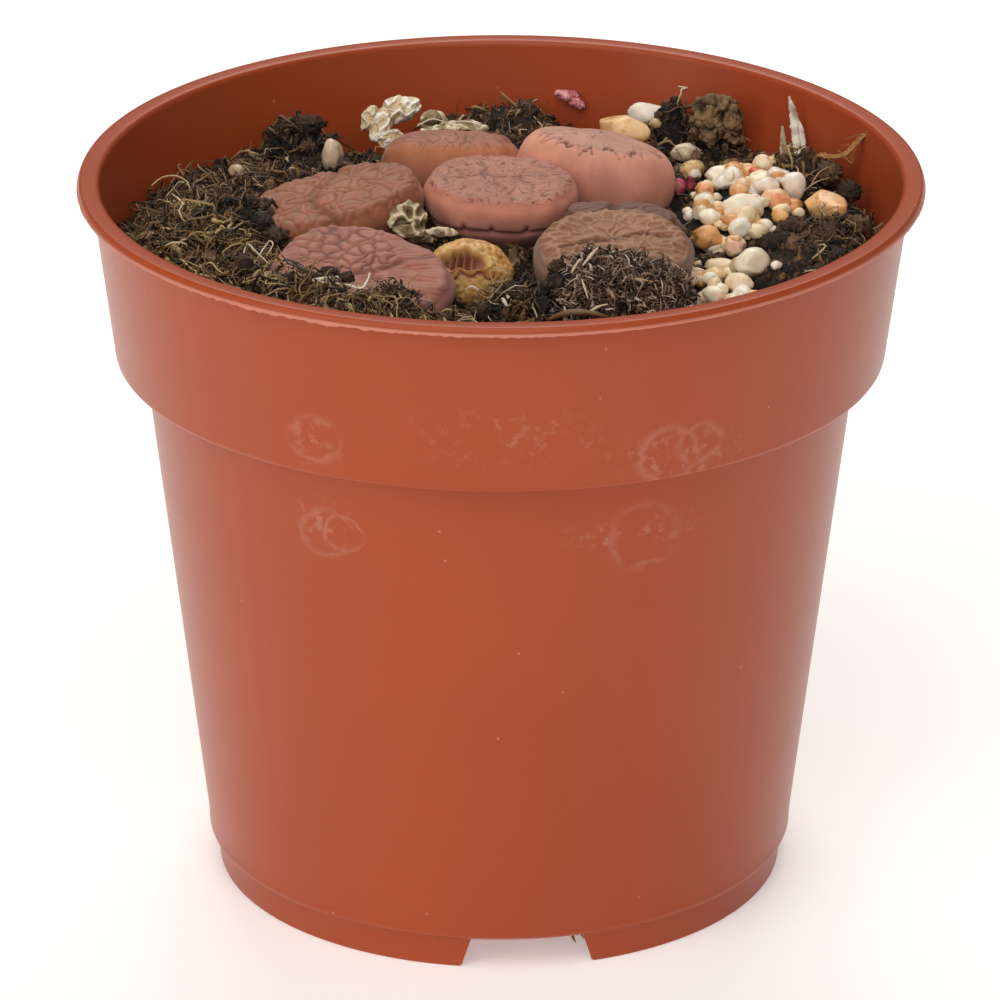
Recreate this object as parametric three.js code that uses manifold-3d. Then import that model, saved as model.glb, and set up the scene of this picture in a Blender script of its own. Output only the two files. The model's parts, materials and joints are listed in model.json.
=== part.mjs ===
// A clump of living stones in a plastic nursery pot.
// Millimetres, +Z up. The origin is the centre of the pot's foot, on the surface it stands on.
// -Y is the front: the side with the foot notch a little to the right of its middle.
import * as THREE from 'three';
import { mergeVertices } from 'three/addons/utils/BufferGeometryUtils.js';
import Module from 'manifold-3d';

const wasm = await Module();
wasm.setup();

// The pot: outside sizes, then the wall, the foot and its holes
const POT_HEIGHT = 74.5;
const LIP_RADIUS = 42.5;
const LIP_THICKNESS = 0.85;
const LIP_EDGE = 0.3;
const MOUTH_CHAMFER = 0.45;
const WALL = 0.8;
const BAND_TOP_RADIUS = 41.1;
const BAND_BOTTOM_RADIUS = 38.93;
const STEP_HEIGHT = 55.98;
const BODY_TOP_RADIUS = 36.17;
const BODY_BOTTOM_RADIUS = 29.9;
const FOOT_HEIGHT = 3.6;
const FOOT_RADIUS = 29.05;
const FOOT_DRAFT = 0.15;
const FOOT_SHOULDER = 0.5;
const SHELF_SLOPE = 0.1;
const FLOOR_UNDERSIDE = 3.4;
const FLOOR_TOP = 4.3;
const POT_SIDES = 64;

const NOTCH_COUNT = 3;
const NOTCH_HEIGHT = 3.3;
const NOTCH_TOP_WIDTH = 11.3;
const NOTCH_BOTTOM_WIDTH = 12.9;
const NOTCH_CORNER = 0.7;
const NOTCH_ROUNDING = 0.3;
const NOTCH_CUT = 6;
const FIRST_NOTCH_ANGLE = -84.3;

const DRAIN_COUNT = 8;
const DRAIN_RADIUS = 2.0;
const DRAIN_SIDES = 12;
const DRAIN_CUT = 4;
const DRAIN_CIRCLE_RADIUS = 24.2;
const FIRST_DRAIN_ANGLE = -73;

// The space that touching pieces keep between them; the soil keeps a little more round what is
// curved, because its holes have fewer corners than what stands in them
const GAP = 0.35;
const CURVED_GAP = 0.5;

// The soil: its usual height, and how far it dips along the wall
const SOIL_HEIGHT = 67.3;
const SOIL_EDGE_DIP = 0.6;
const SOIL_EDGE_WIDTH = 5;
const SOIL_CRUMBLE = 0.3;
const CLOD_CRUMBLE = 0.12;
const SOIL_RING_CROWDING = 0.85;
const SOIL_SIDES = 56;
const SOIL_RINGS = 15;

// Clods, mounds and the heap under the grit, as bumps of the soil: place, half sizes, turn, rise
const CLODS = [
  { name: 'front right clod', x: 12.5, y: -25.0, half: [9.5, 6.5], turn: 10, rise: 5.6 },
  { name: 'front left ridge', x: -15.0, y: -30.0, half: [13, 5.6], turn: -24, rise: 4.6 },
  { name: 'left mound', x: -29.0, y: -7.5, half: [8.5, 11], turn: 14, rise: 4.4 },
  { name: 'back left clod', x: -21.0, y: 28.0, half: [5.2, 4.4], turn: 30, rise: 4.2 },
  { name: 'back crumbs', x: 3.0, y: 33.5, half: [8.0, 4.0], turn: 0, rise: 2.2 },
  { name: 'back right crumb', x: 17.6, y: 30.0, half: [2.8, 2.8], turn: 0, rise: 4.0 },
  { name: 'right mound', x: 31.0, y: -8.5, half: [6.5, 7.5], turn: -12, rise: 3.0 },
  { name: 'front crumb', x: 2.2, y: -25.0, half: [4.0, 3.4], turn: 0, rise: 3.0 },
  { name: 'heap under the grit', x: 25.5, y: 9.5, half: [6.5, 9.5], turn: -10, rise: 1.4 },
];

// The seven plant bodies. The place is the middle of the face, long and short are the face's half
// sizes, turn is the long side's direction, and the face leans by tilt degrees towards a direction.
// The fissure between a body's two leaves is closed: it is a groove across the face.
const HEADS = [
  { name: 'head_centre', at: [0.0, 3.7, 72.6], long: 7.8, short: 6.9, turn: -12, tilt: 2, towards: 300,
    stem: 1.0, wrinkle: 0.16, scale: 1.9, fissure: { offset: 0.2, slope: 2.2, reach: 0.45, depth: 0.25 } },
  { name: 'head_left', at: [-16.7, 1.7, 72.3], long: 8.6, short: 6.2, turn: 10, tilt: 9, towards: 205,
    stem: 1.0, wrinkle: 0.22, scale: 2.7, fissure: { offset: -1.8, slope: -0.35, reach: 1.0, depth: 0.7 } },
  { name: 'head_front_left', at: [-13.5, -20.0, 72.4], long: 9.6, short: 7.8, turn: -28, tilt: 14,
    towards: 272, stem: 1.0, wrinkle: 0.24, scale: 2.3,
    fissure: { offset: 0.6, slope: 1.9, reach: 0.8, depth: 0.35 } },
  { name: 'head_back', at: [-5.0, 17.6, 72.2], long: 7.3, short: 5.6, turn: -4, tilt: 13, towards: 88,
    stem: 1.0, wrinkle: 0.16, scale: 2.1, fissure: { offset: 0.8, slope: 0.3, reach: 0.7, depth: 0.3 } },
  { name: 'head_back_right', at: [10.7, 13.3, 73.2], long: 8.3, short: 5.4, turn: -20, tilt: 20,
    towards: 48, stem: 1.25, wrinkle: 0.2, scale: 2.0,
    fissure: { offset: -0.6, slope: 0.4, reach: 0.7, depth: 0.3 } },
  { name: 'head_front_right', at: [11.4, -13.6, 72.1], long: 8.15, short: 6.9, turn: 2, tilt: 14,
    towards: 270, stem: 1.0, wrinkle: 0.22, scale: 2.6,
    fissure: { offset: 0.5, slope: 3.2, reach: 0.8, depth: 0.4 } },
  { name: 'head_right', at: [12.9, -1.3, 70.5], long: 5.6, short: 4.0, turn: -10, tilt: 6, towards: 60,
    stem: 0.9, wrinkle: 0.2, scale: 2.0, fissure: { offset: -1.0, slope: -0.5, reach: 1.0, depth: 0.5 } },
];
const FACE_DOME = 0.35;
const FACE_REACHES = [0.17, 0.34, 0.5, 0.65, 0.79, 0.9];
// Below the face's rim: how far out the skin is, as a share of the face, and how deep
const BODY_PROFILE = [
  [0.965, 0.5], [1.0, 1.6], [0.97, 3.0], [0.88, 4.3], [0.74, 5.7], [0.58, 8.0], [0.2, 15.5],
];
const ROOT_TIP_DEPTH = 21;
const LEAN_FADE = 5;
const FACE_FULLNESS = 2.25;
const GROOVE_HALF_WIDTH = 0.55;
const GROOVE_FAINT = 0.2;
const HEAD_SIDES = 28;
const POCKET_SIDES = 14;
const POCKET_EASE = 1.02;

// The larger stones of the grit: length, width and height, turn, and the share of the height sunk
// in the soil. Each becomes a part whose name starts with stone_
const STONES = [
  { name: 'oval_right', x: 33.0, y: 6.2, size: [4.3, 2.8, 2.4], turn: -38, sunk: 0.2, colour: 0xc9a878 },
  { name: 'grey_right', x: 36.2, y: 2.6, size: [1.7, 1.3, 1.1], turn: 20, sunk: 0.3, colour: 0x8e8a80 },
  { name: 'cream_large', x: 24.4, y: 4.2, size: [4.1, 3.0, 2.6], turn: 8, sunk: 0.15, colour: 0xd8c6a4 },
  { name: 'peach', x: 27.9, y: 7.1, size: [2.5, 2.3, 2.0], turn: -20, sunk: 0.2, colour: 0xd9a576 },
  { name: 'cream_top', x: 26.4, y: 10.2, size: [2.6, 2.2, 2.4], turn: 60, sunk: 0.1, colour: 0xe6cfa9 },
  { name: 'white_tall', x: 29.9, y: 10.2, size: [2.1, 1.9, 2.7], turn: 10, sunk: 0.2, colour: 0xdfd3bd },
  { name: 'cream_flat', x: 28.3, y: 14.9, size: [2.4, 1.9, 1.5], turn: 0, sunk: 0.25, colour: 0xd9ccb0 },
  { name: 'white_mid', x: 23.6, y: 12.2, size: [2.2, 1.9, 2.0], turn: 80, sunk: 0.15, colour: 0xe2dccf },
  { name: 'red', x: 26.1, y: 13.6, size: [1.5, 1.3, 1.4], turn: 0, sunk: 0.15, colour: 0xb5532f },
  { name: 'white_orange', x: 22.4, y: 15.6, size: [2.9, 2.2, 2.2], turn: 50, sunk: 0.2, colour: 0xe0c295 },
  { name: 'yellow_back', x: 28.2, y: 21.2, size: [2.5, 2.1, 1.8], turn: -10, sunk: 0.3, colour: 0xc8a86f },
  { name: 'peach_small', x: 24.9, y: 20.4, size: [1.4, 1.3, 1.1], turn: 0, sunk: 0.3, colour: 0xd8a980 },
  { name: 'yellow_right', x: 19.8, y: 20.2, size: [2.5, 2.0, 1.8], turn: 40, sunk: 0.3, colour: 0xc2a670 },
  { name: 'pale_back', x: 19.3, y: 25.0, size: [2.9, 1.9, 1.6], turn: 5, sunk: 0.3, colour: 0xb9b08f },
  { name: 'orange_left', x: 20.9, y: 10.2, size: [1.5, 1.4, 1.7], turn: 0, sunk: 0.3, colour: 0xc98b52 },
  { name: 'cream_left', x: 20.4, y: 5.4, size: [1.8, 1.6, 1.5], turn: 30, sunk: 0.3, colour: 0xcbbd98 },
  { name: 'amber', x: 20.9, y: -1.0, size: [2.8, 2.4, 2.2], turn: 35, sunk: 0.25, colour: 0xc48f4e },
  { name: 'pink_white', x: 24.3, y: 0.6, size: [2.5, 1.9, 1.9], turn: 35, sunk: 0.15, colour: 0xdccab2 },
  { name: 'pink_low', x: 23.6, y: -2.6, size: [2.1, 1.9, 1.8], turn: 70, sunk: 0.25, colour: 0xd2b493 },
  { name: 'flat_cream', x: 21.9, y: -7.9, size: [2.9, 1.6, 1.3], turn: -8, sunk: 0.2, colour: 0xcbb793 },
  { name: 'pale_pair', x: 21.3, y: -10.7, size: [2.1, 1.8, 1.6], turn: 15, sunk: 0.3, colour: 0xcdb287 },
  { name: 'front_large', x: 25.0, y: -10.2, size: [3.2, 2.4, 2.4], turn: 50, sunk: 0.2, colour: 0xdccaa8 },
  { name: 'front_second', x: 23.6, y: -13.8, size: [2.3, 1.9, 1.6], turn: -25, sunk: 0.25, colour: 0xd6c19b },
  { name: 'white_tan', x: 21.1, y: -17.2, size: [2.4, 1.5, 1.6], turn: -48, sunk: 0.2, colour: 0xd0b48a },
  { name: 'orange_front', x: 25.0, y: -17.2, size: [3.0, 1.5, 1.5], turn: 12, sunk: 0.3, colour: 0xcf9450 },
  { name: 'left_pale', x: -17.4, y: 21.6, size: [2.2, 1.8, 3.2], turn: 65, sunk: 0.2, colour: 0xbca888 },
  { name: 'left_small', x: -27.2, y: 19.0, size: [1.6, 1.4, 1.2], turn: 0, sunk: 0.3, colour: 0xb5a27f },
  { name: 'back_left', x: -6.9, y: 31.6, size: [2.3, 1.8, 1.9], turn: 10, sunk: 0.3, colour: 0xa89471 },
  { name: 'yellow_long', x: 12.6, y: 27.0, size: [4.4, 2.6, 2.4], turn: -28, sunk: 0.2, colour: 0xc39c62 },
  { name: 'white_back', x: 15.2, y: 33.0, size: [2.9, 2.1, 2.1], turn: -8, sunk: 0.25, colour: 0xc4bda3 },
  { name: 'dark_front', x: 4.4, y: -20.6, size: [2.9, 2.0, 1.3], turn: -5, sunk: 0.25, colour: 0x5b4542 },
  { name: 'front_grit', x: -3.0, y: -32.5, size: [2.4, 2.0, 1.7], turn: 20, sunk: 0.3, colour: 0xbfa983 },
];
const STONE_ROUGHNESS = 0.07;
// An icosahedron that holds a ball inside it reaches this much further than the ball
const ICOSAHEDRON_REACH = 1.26;

const COLOURS = {
  pot: 0xae543b, soil: 0x3b3029, head: 0xb0786a, huskAmber: 0xa97b35, huskPale: 0xb7a685,
  huskWhite: 0xcdbfa3, sliver: 0xcfc4ac, root: 0x8b6538, bark: 0x5b4a3a,
  pink: 0xb4505c, magenta: 0x8c1f3e,
};

const radians = THREE.MathUtils.degToRad;

// Positions and faces only, with shared corners, no flat faces, and the faces pointing out
function closedMesh(geometry) {
  const bare = new THREE.BufferGeometry();
  bare.setAttribute('position', geometry.getAttribute('position').clone());
  if (geometry.index) bare.setIndex(geometry.index.clone());
  const merged = mergeVertices(bare, 1e-4);
  const index = merged.index.array;
  const at = merged.getAttribute('position');
  const [a, b, c] = [new THREE.Vector3(), new THREE.Vector3(), new THREE.Vector3()];
  const faces = [];
  let volume = 0;
  for (let i = 0; i < index.length; i += 3) {
    const [ia, ib, ic] = [index[i], index[i + 1], index[i + 2]];
    if (ia === ib || ib === ic || ic === ia) continue;
    a.fromBufferAttribute(at, ia);
    b.fromBufferAttribute(at, ib);
    c.fromBufferAttribute(at, ic);
    volume += a.dot(b.clone().cross(c));
    faces.push([ia, ib, ic]);
  }
  merged.setIndex(faces.flatMap(([ia, ib, ic]) => (volume < 0 ? [ia, ic, ib] : [ia, ib, ic])));
  return merged;
}

function solidOf(geometry) {
  const mesh = closedMesh(geometry);
  return new wasm.Manifold(new wasm.Mesh({
    numProp: 3,
    vertProperties: new Float32Array(mesh.getAttribute('position').array),
    triVerts: new Uint32Array(mesh.index.array),
  }));
}

function geometryOf(solid) {
  const mesh = solid.getMesh();
  const geometry = new THREE.BufferGeometry();
  geometry.setAttribute('position', new THREE.BufferAttribute(new Float32Array(mesh.vertProperties), 3));
  geometry.setIndex([...mesh.triVerts]);
  return geometry;
}

// Joins rings of points, each with the same count, into one closed skin that ends in two points
function loft(rings, firstTip, lastTip) {
  const sides = rings[0].length;
  const points = [firstTip, ...rings.flat(), lastTip];
  const last = points.length - 1;
  const faces = [];
  for (let i = 0; i < sides; i += 1) {
    const next = (i + 1) % sides;
    faces.push(0, 1 + i, 1 + next);
    for (let ring = 0; ring < rings.length - 1; ring += 1) {
      const [here, below] = [1 + ring * sides, 1 + (ring + 1) * sides];
      faces.push(here + i, below + i, below + next, here + i, below + next, here + next);
    }
    const lowest = 1 + (rings.length - 1) * sides;
    faces.push(last, lowest + next, lowest + i);
  }
  const geometry = new THREE.BufferGeometry().setFromPoints(points);
  geometry.setIndex(faces);
  return geometry;
}

// Slow waves that never repeat in step: a plain stand-in for the unevenness of a grown surface
function waves(x, y, z, phase) {
  return (
    Math.sin(1.7 * x + 0.9 * y + phase) +
    Math.sin(1.1 * y - 1.5 * z + 2.1 * phase) +
    Math.sin(1.3 * z + 1.9 * x - 0.7 * phase)
  ) / 3;
}

const parts = new THREE.Group();

function addPart(name, geometry, colour, roughness) {
  const material = new THREE.MeshStandardMaterial({ color: colour, roughness, metalness: 0 });
  const mesh = new THREE.Mesh(closedMesh(geometry), material);
  mesh.name = name;
  parts.add(mesh);
}

// The inside of the pot's wall at a height: the band above the step, and the body below it
function insideRadius(z) {
  if (z > STEP_HEIGHT) {
    const up = (z - STEP_HEIGHT) / (POT_HEIGHT - LIP_THICKNESS - STEP_HEIGHT);
    return BAND_BOTTOM_RADIUS + (BAND_TOP_RADIUS - BAND_BOTTOM_RADIUS) * up - WALL;
  }
  const up = (z - FOOT_HEIGHT) / (STEP_HEIGHT - FOOT_HEIGHT);
  return BODY_BOTTOM_RADIUS + (BODY_TOP_RADIUS - BODY_BOTTOM_RADIUS) * up - WALL;
}

// Turns an outline of [radius, height] into a round solid about +Z
function turned(outline, sides) {
  const lathe = new THREE.LatheGeometry(outline.map(([r, z]) => new THREE.Vector2(r, z)), sides);
  return lathe.rotateX(Math.PI / 2);
}

function makePot() {
  const top = POT_HEIGHT;
  const lipUnder = top - LIP_THICKNESS;
  const shelf = STEP_HEIGHT + WALL;
  const outline = [
    [0, FLOOR_UNDERSIDE],
    [FOOT_RADIUS - WALL, FLOOR_UNDERSIDE],
    [FOOT_RADIUS - WALL, 0],
    [FOOT_RADIUS, 0],
    [FOOT_RADIUS + FOOT_DRAFT, FOOT_HEIGHT],
    [BODY_BOTTOM_RADIUS, FOOT_HEIGHT + FOOT_SHOULDER],
    [BODY_TOP_RADIUS, STEP_HEIGHT],
    [BAND_BOTTOM_RADIUS - LIP_EDGE, STEP_HEIGHT],
    [BAND_BOTTOM_RADIUS, STEP_HEIGHT + LIP_EDGE],
    [BAND_TOP_RADIUS, lipUnder],
    [LIP_RADIUS - LIP_EDGE / 2, lipUnder],
    [LIP_RADIUS, lipUnder + LIP_EDGE],
    [LIP_RADIUS - LIP_EDGE, top],
    [insideRadius(lipUnder) + MOUTH_CHAMFER, top],
    [insideRadius(lipUnder), top - MOUTH_CHAMFER],
    [insideRadius(shelf), shelf],
    [insideRadius(STEP_HEIGHT) - SHELF_SLOPE, shelf],
    [insideRadius(FLOOR_TOP), FLOOR_TOP],
    [0, FLOOR_TOP],
  ];
  let pot = solidOf(turned(outline, POT_SIDES));

  const half = NOTCH_BOTTOM_WIDTH / 2;
  const notch = new THREE.Shape([
    new THREE.Vector2(-half - NOTCH_CORNER, -1),
    new THREE.Vector2(half + NOTCH_CORNER, -1),
    new THREE.Vector2(half + NOTCH_CORNER, 0),
    new THREE.Vector2(half + NOTCH_CORNER * NOTCH_ROUNDING, NOTCH_CORNER * NOTCH_ROUNDING),
    new THREE.Vector2(half, NOTCH_CORNER),
    new THREE.Vector2(NOTCH_TOP_WIDTH / 2, NOTCH_HEIGHT),
    new THREE.Vector2(-NOTCH_TOP_WIDTH / 2, NOTCH_HEIGHT),
    new THREE.Vector2(-half, NOTCH_CORNER),
    new THREE.Vector2(-half - NOTCH_CORNER * NOTCH_ROUNDING, NOTCH_CORNER * NOTCH_ROUNDING),
    new THREE.Vector2(-half - NOTCH_CORNER, 0),
  ]);
  for (let i = 0; i < NOTCH_COUNT; i += 1) {
    const cutter = new THREE.ExtrudeGeometry(notch, { depth: NOTCH_CUT, bevelEnabled: false });
    cutter.rotateX(Math.PI / 2);
    cutter.translate(0, FOOT_RADIUS + NOTCH_CUT / 2, 0);
    cutter.rotateZ(radians(FIRST_NOTCH_ANGLE - 90 + (360 / NOTCH_COUNT) * i));
    pot = pot.subtract(solidOf(cutter));
  }

  for (let i = 0; i < DRAIN_COUNT; i += 1) {
    const drain = new THREE.CylinderGeometry(DRAIN_RADIUS, DRAIN_RADIUS, DRAIN_CUT, DRAIN_SIDES);
    drain.rotateX(Math.PI / 2);
    const angle = radians(FIRST_DRAIN_ANGLE + (360 / DRAIN_COUNT) * i);
    drain.translate(
      DRAIN_CIRCLE_RADIUS * Math.cos(angle),
      DRAIN_CIRCLE_RADIUS * Math.sin(angle),
      (FLOOR_UNDERSIDE + FLOOR_TOP) / 2,
    );
    pot = pot.subtract(solidOf(drain));
  }
  return geometryOf(pot);
}

// The soil's height at a place: crumbs, then the clods, then the dip along the wall
function soilHeight(x, y) {
  let height = SOIL_HEIGHT + SOIL_CRUMBLE * waves(0.9 * x, 0.9 * y, 0.4 * x, 1.3);
  for (const clod of CLODS) {
    const turn = radians(clod.turn);
    const [dx, dy] = [x - clod.x, y - clod.y];
    const along = (dx * Math.cos(turn) + dy * Math.sin(turn)) / clod.half[0];
    const across = (dy * Math.cos(turn) - dx * Math.sin(turn)) / clod.half[1];
    const far = along * along + across * across;
    if (far >= 1) continue;
    const uneven = 1 + CLOD_CRUMBLE * waves(1.6 * x, 1.6 * y, 0, clod.rise);
    height += clod.rise * (1 - far * far) * uneven;
  }
  return height;
}

function makeSoil() {
  const level = SOIL_HEIGHT - SOIL_EDGE_DIP;
  const edge = insideRadius(level) - GAP;
  const rings = [];
  for (let ring = 1; ring <= SOIL_RINGS; ring += 1) {
    const radius = edge * (ring / SOIL_RINGS) ** SOIL_RING_CROWDING;
    const points = [];
    for (let i = 0; i < SOIL_SIDES; i += 1) {
      const angle = (2 * Math.PI * i) / SOIL_SIDES;
      const [x, y] = [radius * Math.cos(angle), radius * Math.sin(angle)];
      const atWall = THREE.MathUtils.smoothstep(radius, edge - SOIL_EDGE_WIDTH, edge);
      points.push(new THREE.Vector3(x, y, THREE.MathUtils.lerp(soilHeight(x, y), level, atWall)));
    }
    rings.push(points);
  }
  const shelf = STEP_HEIGHT + WALL + GAP;
  const floor = FLOOR_TOP + GAP;
  const below = [
    [insideRadius(shelf) - GAP, shelf],
    [insideRadius(STEP_HEIGHT) - SHELF_SLOPE - GAP, shelf],
    [insideRadius(floor) - GAP, floor],
  ];
  for (const [radius, z] of below) {
    const ring = [];
    for (let i = 0; i < SOIL_SIDES; i += 1) {
      const angle = (2 * Math.PI * i) / SOIL_SIDES;
      ring.push(new THREE.Vector3(radius * Math.cos(angle), radius * Math.sin(angle), z));
    }
    rings.push(ring);
  }
  const middle = new THREE.Vector3(0, 0, soilHeight(0, 0));
  return solidOf(loft(rings, middle, new THREE.Vector3(0, 0, floor)));
}

// The share of the face's half size at an angle round it: a little fuller than an ellipse
function fullness(angle) {
  const sum = Math.abs(Math.cos(angle)) ** FACE_FULLNESS + Math.abs(Math.sin(angle)) ** FACE_FULLNESS;
  return sum ** (-1 / FACE_FULLNESS);
}

// The middle and the directions of a body at a depth under its face: the lean fades with depth
function headFrame(head, depth) {
  const fade = Math.exp(-Math.max(depth, 0) / LEAN_FADE);
  const towards = radians(head.towards);
  const lean = radians(head.tilt) * fade;
  const up = new THREE.Vector3(
    Math.sin(lean) * Math.cos(towards), Math.sin(lean) * Math.sin(towards), Math.cos(lean));
  const long = new THREE.Vector3(Math.cos(radians(head.turn)), Math.sin(radians(head.turn)), 0);
  long.addScaledVector(up, -long.dot(up)).normalize();
  const short = up.clone().cross(long);
  const aside = Math.sin(radians(head.tilt)) * LEAN_FADE * (1 - fade);
  const middle = new THREE.Vector3(...head.at).add(
    new THREE.Vector3(-aside * Math.cos(towards), -aside * Math.sin(towards), -Math.max(depth, 0)));
  return { up, long, short, middle };
}

// The face's relief: brain-like wrinkles that die out at the rim, and the groove of the fissure
function faceRelief(head, x, y, reach) {
  const k = (2 * Math.PI) / head.scale;
  const bend = 1.1 * Math.sin(0.55 * k * y + head.at[0]);
  const folds = Math.sin(k * 0.8 * x + bend) * Math.cos(k * 0.75 * y + 0.9 * Math.sin(0.5 * k * x));
  const wrinkles = head.wrinkle * folds * (1 - reach ** 6);
  const { offset, slope, reach: far, depth } = head.fissure;
  const away = (x - offset - slope * y) / Math.hypot(1, slope);
  const strength = depth * (reach < far ? 1 : GROOVE_FAINT);
  const groove = -strength * Math.exp(-((away / GROOVE_HALF_WIDTH) ** 2));
  return FACE_DOME * (1 - reach * reach) + wrinkles + groove;
}

function headRing(head, share, depth, lift, grow, sides) {
  const { up, long, short, middle } = headFrame(head, depth);
  const ring = [];
  for (let i = 0; i < sides; i += 1) {
    const angle = (2 * Math.PI * i) / sides;
    const [x, y] = [
      (head.long * share * fullness(angle) + grow) * Math.cos(angle),
      (head.short * share * fullness(angle) + grow) * Math.sin(angle),
    ];
    ring.push(middle.clone()
      .addScaledVector(long, x)
      .addScaledVector(short, y)
      .addScaledVector(up, lift(x, y)));
  }
  return ring;
}

function makeHead(head) {
  const rings = FACE_REACHES.map((reach) =>
    headRing(head, reach, 0, (x, y) => faceRelief(head, x, y, reach), 0, HEAD_SIDES));
  for (const [share, depth] of BODY_PROFILE) {
    rings.push(headRing(head, share, depth * head.stem, () => 0, 0, HEAD_SIDES));
  }
  const face = headFrame(head, 0);
  const crown = face.middle.clone().addScaledVector(face.up, faceRelief(head, 0, 0, 0));
  return loft(rings, crown, headFrame(head, ROOT_TIP_DEPTH * head.stem).middle);
}

// The hole that a body stands in: the same shape, wider by the gap
function makeHeadPocket(head) {
  const grow = CURVED_GAP / Math.cos(Math.PI / POCKET_SIDES);
  const lift = FACE_DOME + head.wrinkle + CURVED_GAP;
  const rings = [headRing(head, BODY_PROFILE[0][0], 0, () => lift, grow, POCKET_SIDES)];
  for (const [share, depth] of BODY_PROFILE.slice(1)) {
    rings.push(headRing(head, share * POCKET_EASE, depth * head.stem, () => 0, grow, POCKET_SIDES));
  }
  rings.push(headRing(head, 0, ROOT_TIP_DEPTH * head.stem, () => 0, grow, POCKET_SIDES));
  const face = headFrame(head, 0);
  const crown = face.middle.clone().addScaledVector(face.up, lift);
  return loft(rings, crown, headFrame(head, ROOT_TIP_DEPTH * head.stem + CURVED_GAP).middle);
}

// An uneven lump: an icosahedron pushed out to an oval, with slow dents
function lump(half, unevenness, phase, detail) {
  const ball = closedMesh(new THREE.IcosahedronGeometry(1, detail));
  const at = ball.getAttribute('position');
  for (let i = 0; i < at.count; i += 1) {
    const [x, y, z] = [at.getX(i), at.getY(i), at.getZ(i)];
    const out = 1 + unevenness * waves(2.2 * x, 2.2 * y, 2.2 * z, phase);
    at.setXYZ(i, x * half[0] * out, y * half[1] * out, z * half[2] * out);
  }
  return ball;
}

function placed(geometry, turn, x, y, z) {
  return geometry.rotateZ(radians(turn)).translate(x, y, z);
}

const STRAND_TIP = 0.1;

// A tapering strand or sliver along a smooth path: wide across, thick along the sight of the path
function strand(points, halfWidths, halfThickness, sides, grow) {
  const path = new THREE.CatmullRomCurve3(points.map((point) => new THREE.Vector3(...point)));
  const steps = halfWidths.length - 1;
  const rings = halfWidths.map((halfWidth, step) => {
    const along = path.getTangent(step / steps);
    const past = step === 0 ? -grow : step === steps ? grow : 0;
    const middle = path.getPoint(step / steps).addScaledVector(along, past);
    const wide = new THREE.Vector3(0, 0, 1).cross(along).normalize();
    const thick = along.clone().cross(wide);
    const ring = [];
    for (let i = 0; i < sides; i += 1) {
      const angle = (2 * Math.PI * i) / sides + Math.PI / sides;
      ring.push(middle.clone()
        .addScaledVector(wide, (halfWidth + grow) * Math.cos(angle))
        .addScaledVector(thick, (halfThickness + grow) * Math.sin(angle)));
    }
    return ring;
  });
  const ends = [0, 1].map((end) => path.getPoint(end)
    .addScaledVector(path.getTangent(end), (end * 2 - 1) * (STRAND_TIP + 2 * grow)));
  return loft(rings, ends[0], ends[1]);
}

addPart('pot', makePot(), COLOURS.pot, 0.45);

let soil = makeSoil();
const sinkIn = (pocket) => {
  soil = soil.subtract(solidOf(pocket));
};

for (const head of HEADS) {
  addPart(head.name, makeHead(head), COLOURS.head, 0.6);
  sinkIn(makeHeadPocket(head));
}

STONES.forEach((stone, count) => {
  const half = stone.size.map((size) => size / 2);
  const z = soilHeight(stone.x, stone.y) + half[2] * (1 - 2 * stone.sunk);
  const pebble = lump(half, STONE_ROUGHNESS, count, 1);
  addPart(`stone_${stone.name}`, placed(pebble, stone.turn, stone.x, stone.y, z),
    stone.colour, 0.5);
  const reach = half.map((size) => (size + GAP) * ICOSAHEDRON_REACH);
  sinkIn(placed(lump(reach, 0, 0, 0), stone.turn, stone.x, stone.y, z));
});

// The dried sheaths between the bodies
const AMBER = { half: [4.4, 3.1, 3.0], at: [-2.4, -12.0, 69.0], turn: -6 };
const AMBER_EYE = { half: [2.2, 1.5, 1.0], at: [-2.5, -14.4, 70.8] };
const amberHusk = solidOf(placed(lump(AMBER.half, 0.06, 3, 2), AMBER.turn, ...AMBER.at))
  .subtract(solidOf(placed(lump(AMBER_EYE.half, 0, 0, 1), 0, ...AMBER_EYE.at)));
addPart('husk_amber', geometryOf(amberHusk), COLOURS.huskAmber, 0.5);
const amberHole = AMBER.half.map((size) => size + CURVED_GAP);
sinkIn(placed(lump(amberHole, 0.06, 3, 2), AMBER.turn, ...AMBER.at));

const GREY_TONGUE = [[-10.2, -6.2, 68.2], [-8.2, -5.8, 69.3], [-5.6, -5.9, 68.9], [-4.0, -6.0, 69.4]];
const GREY_LEAF = { half: [1.5, 1.1, 2.5], at: [-8.7, -2.9, 69.2], turn: 24 };
const GREY_WIDTHS = [0.5, 0.8, 0.9, 0.7, 0.35];
const greyHusk = (grow) => solidOf(strand(GREY_TONGUE, GREY_WIDTHS, 0.4, 6, grow))
  .add(solidOf(placed(lump([1.6 + grow, 2.2 + grow, 0.8 + grow], 0.1, 8, 1), 20, -8.7, -4.4, 68.8)))
  .add(solidOf(placed(lump(GREY_LEAF.half.map((size) => size + grow), 0.14, 5, 1),
    GREY_LEAF.turn, ...GREY_LEAF.at)));
addPart('husk_grey', geometryOf(greyHusk(0)), COLOURS.huskPale, 0.8);
soil = soil.subtract(greyHusk(GAP));

const PAPERY_PATH = [[0.4, -6.0, 68.0], [1.2, -8.0, 68.7], [2.0, -10.0, 68.1]];
const PAPERY_WIDTHS = [0.4, 0.8, 0.9, 0.7, 0.4];
addPart('husk_papery', strand(PAPERY_PATH, PAPERY_WIDTHS, 0.35, 6, 0), COLOURS.huskPale, 0.8);
sinkIn(strand(PAPERY_PATH, PAPERY_WIDTHS, 0.35, 6, GAP));

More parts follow.
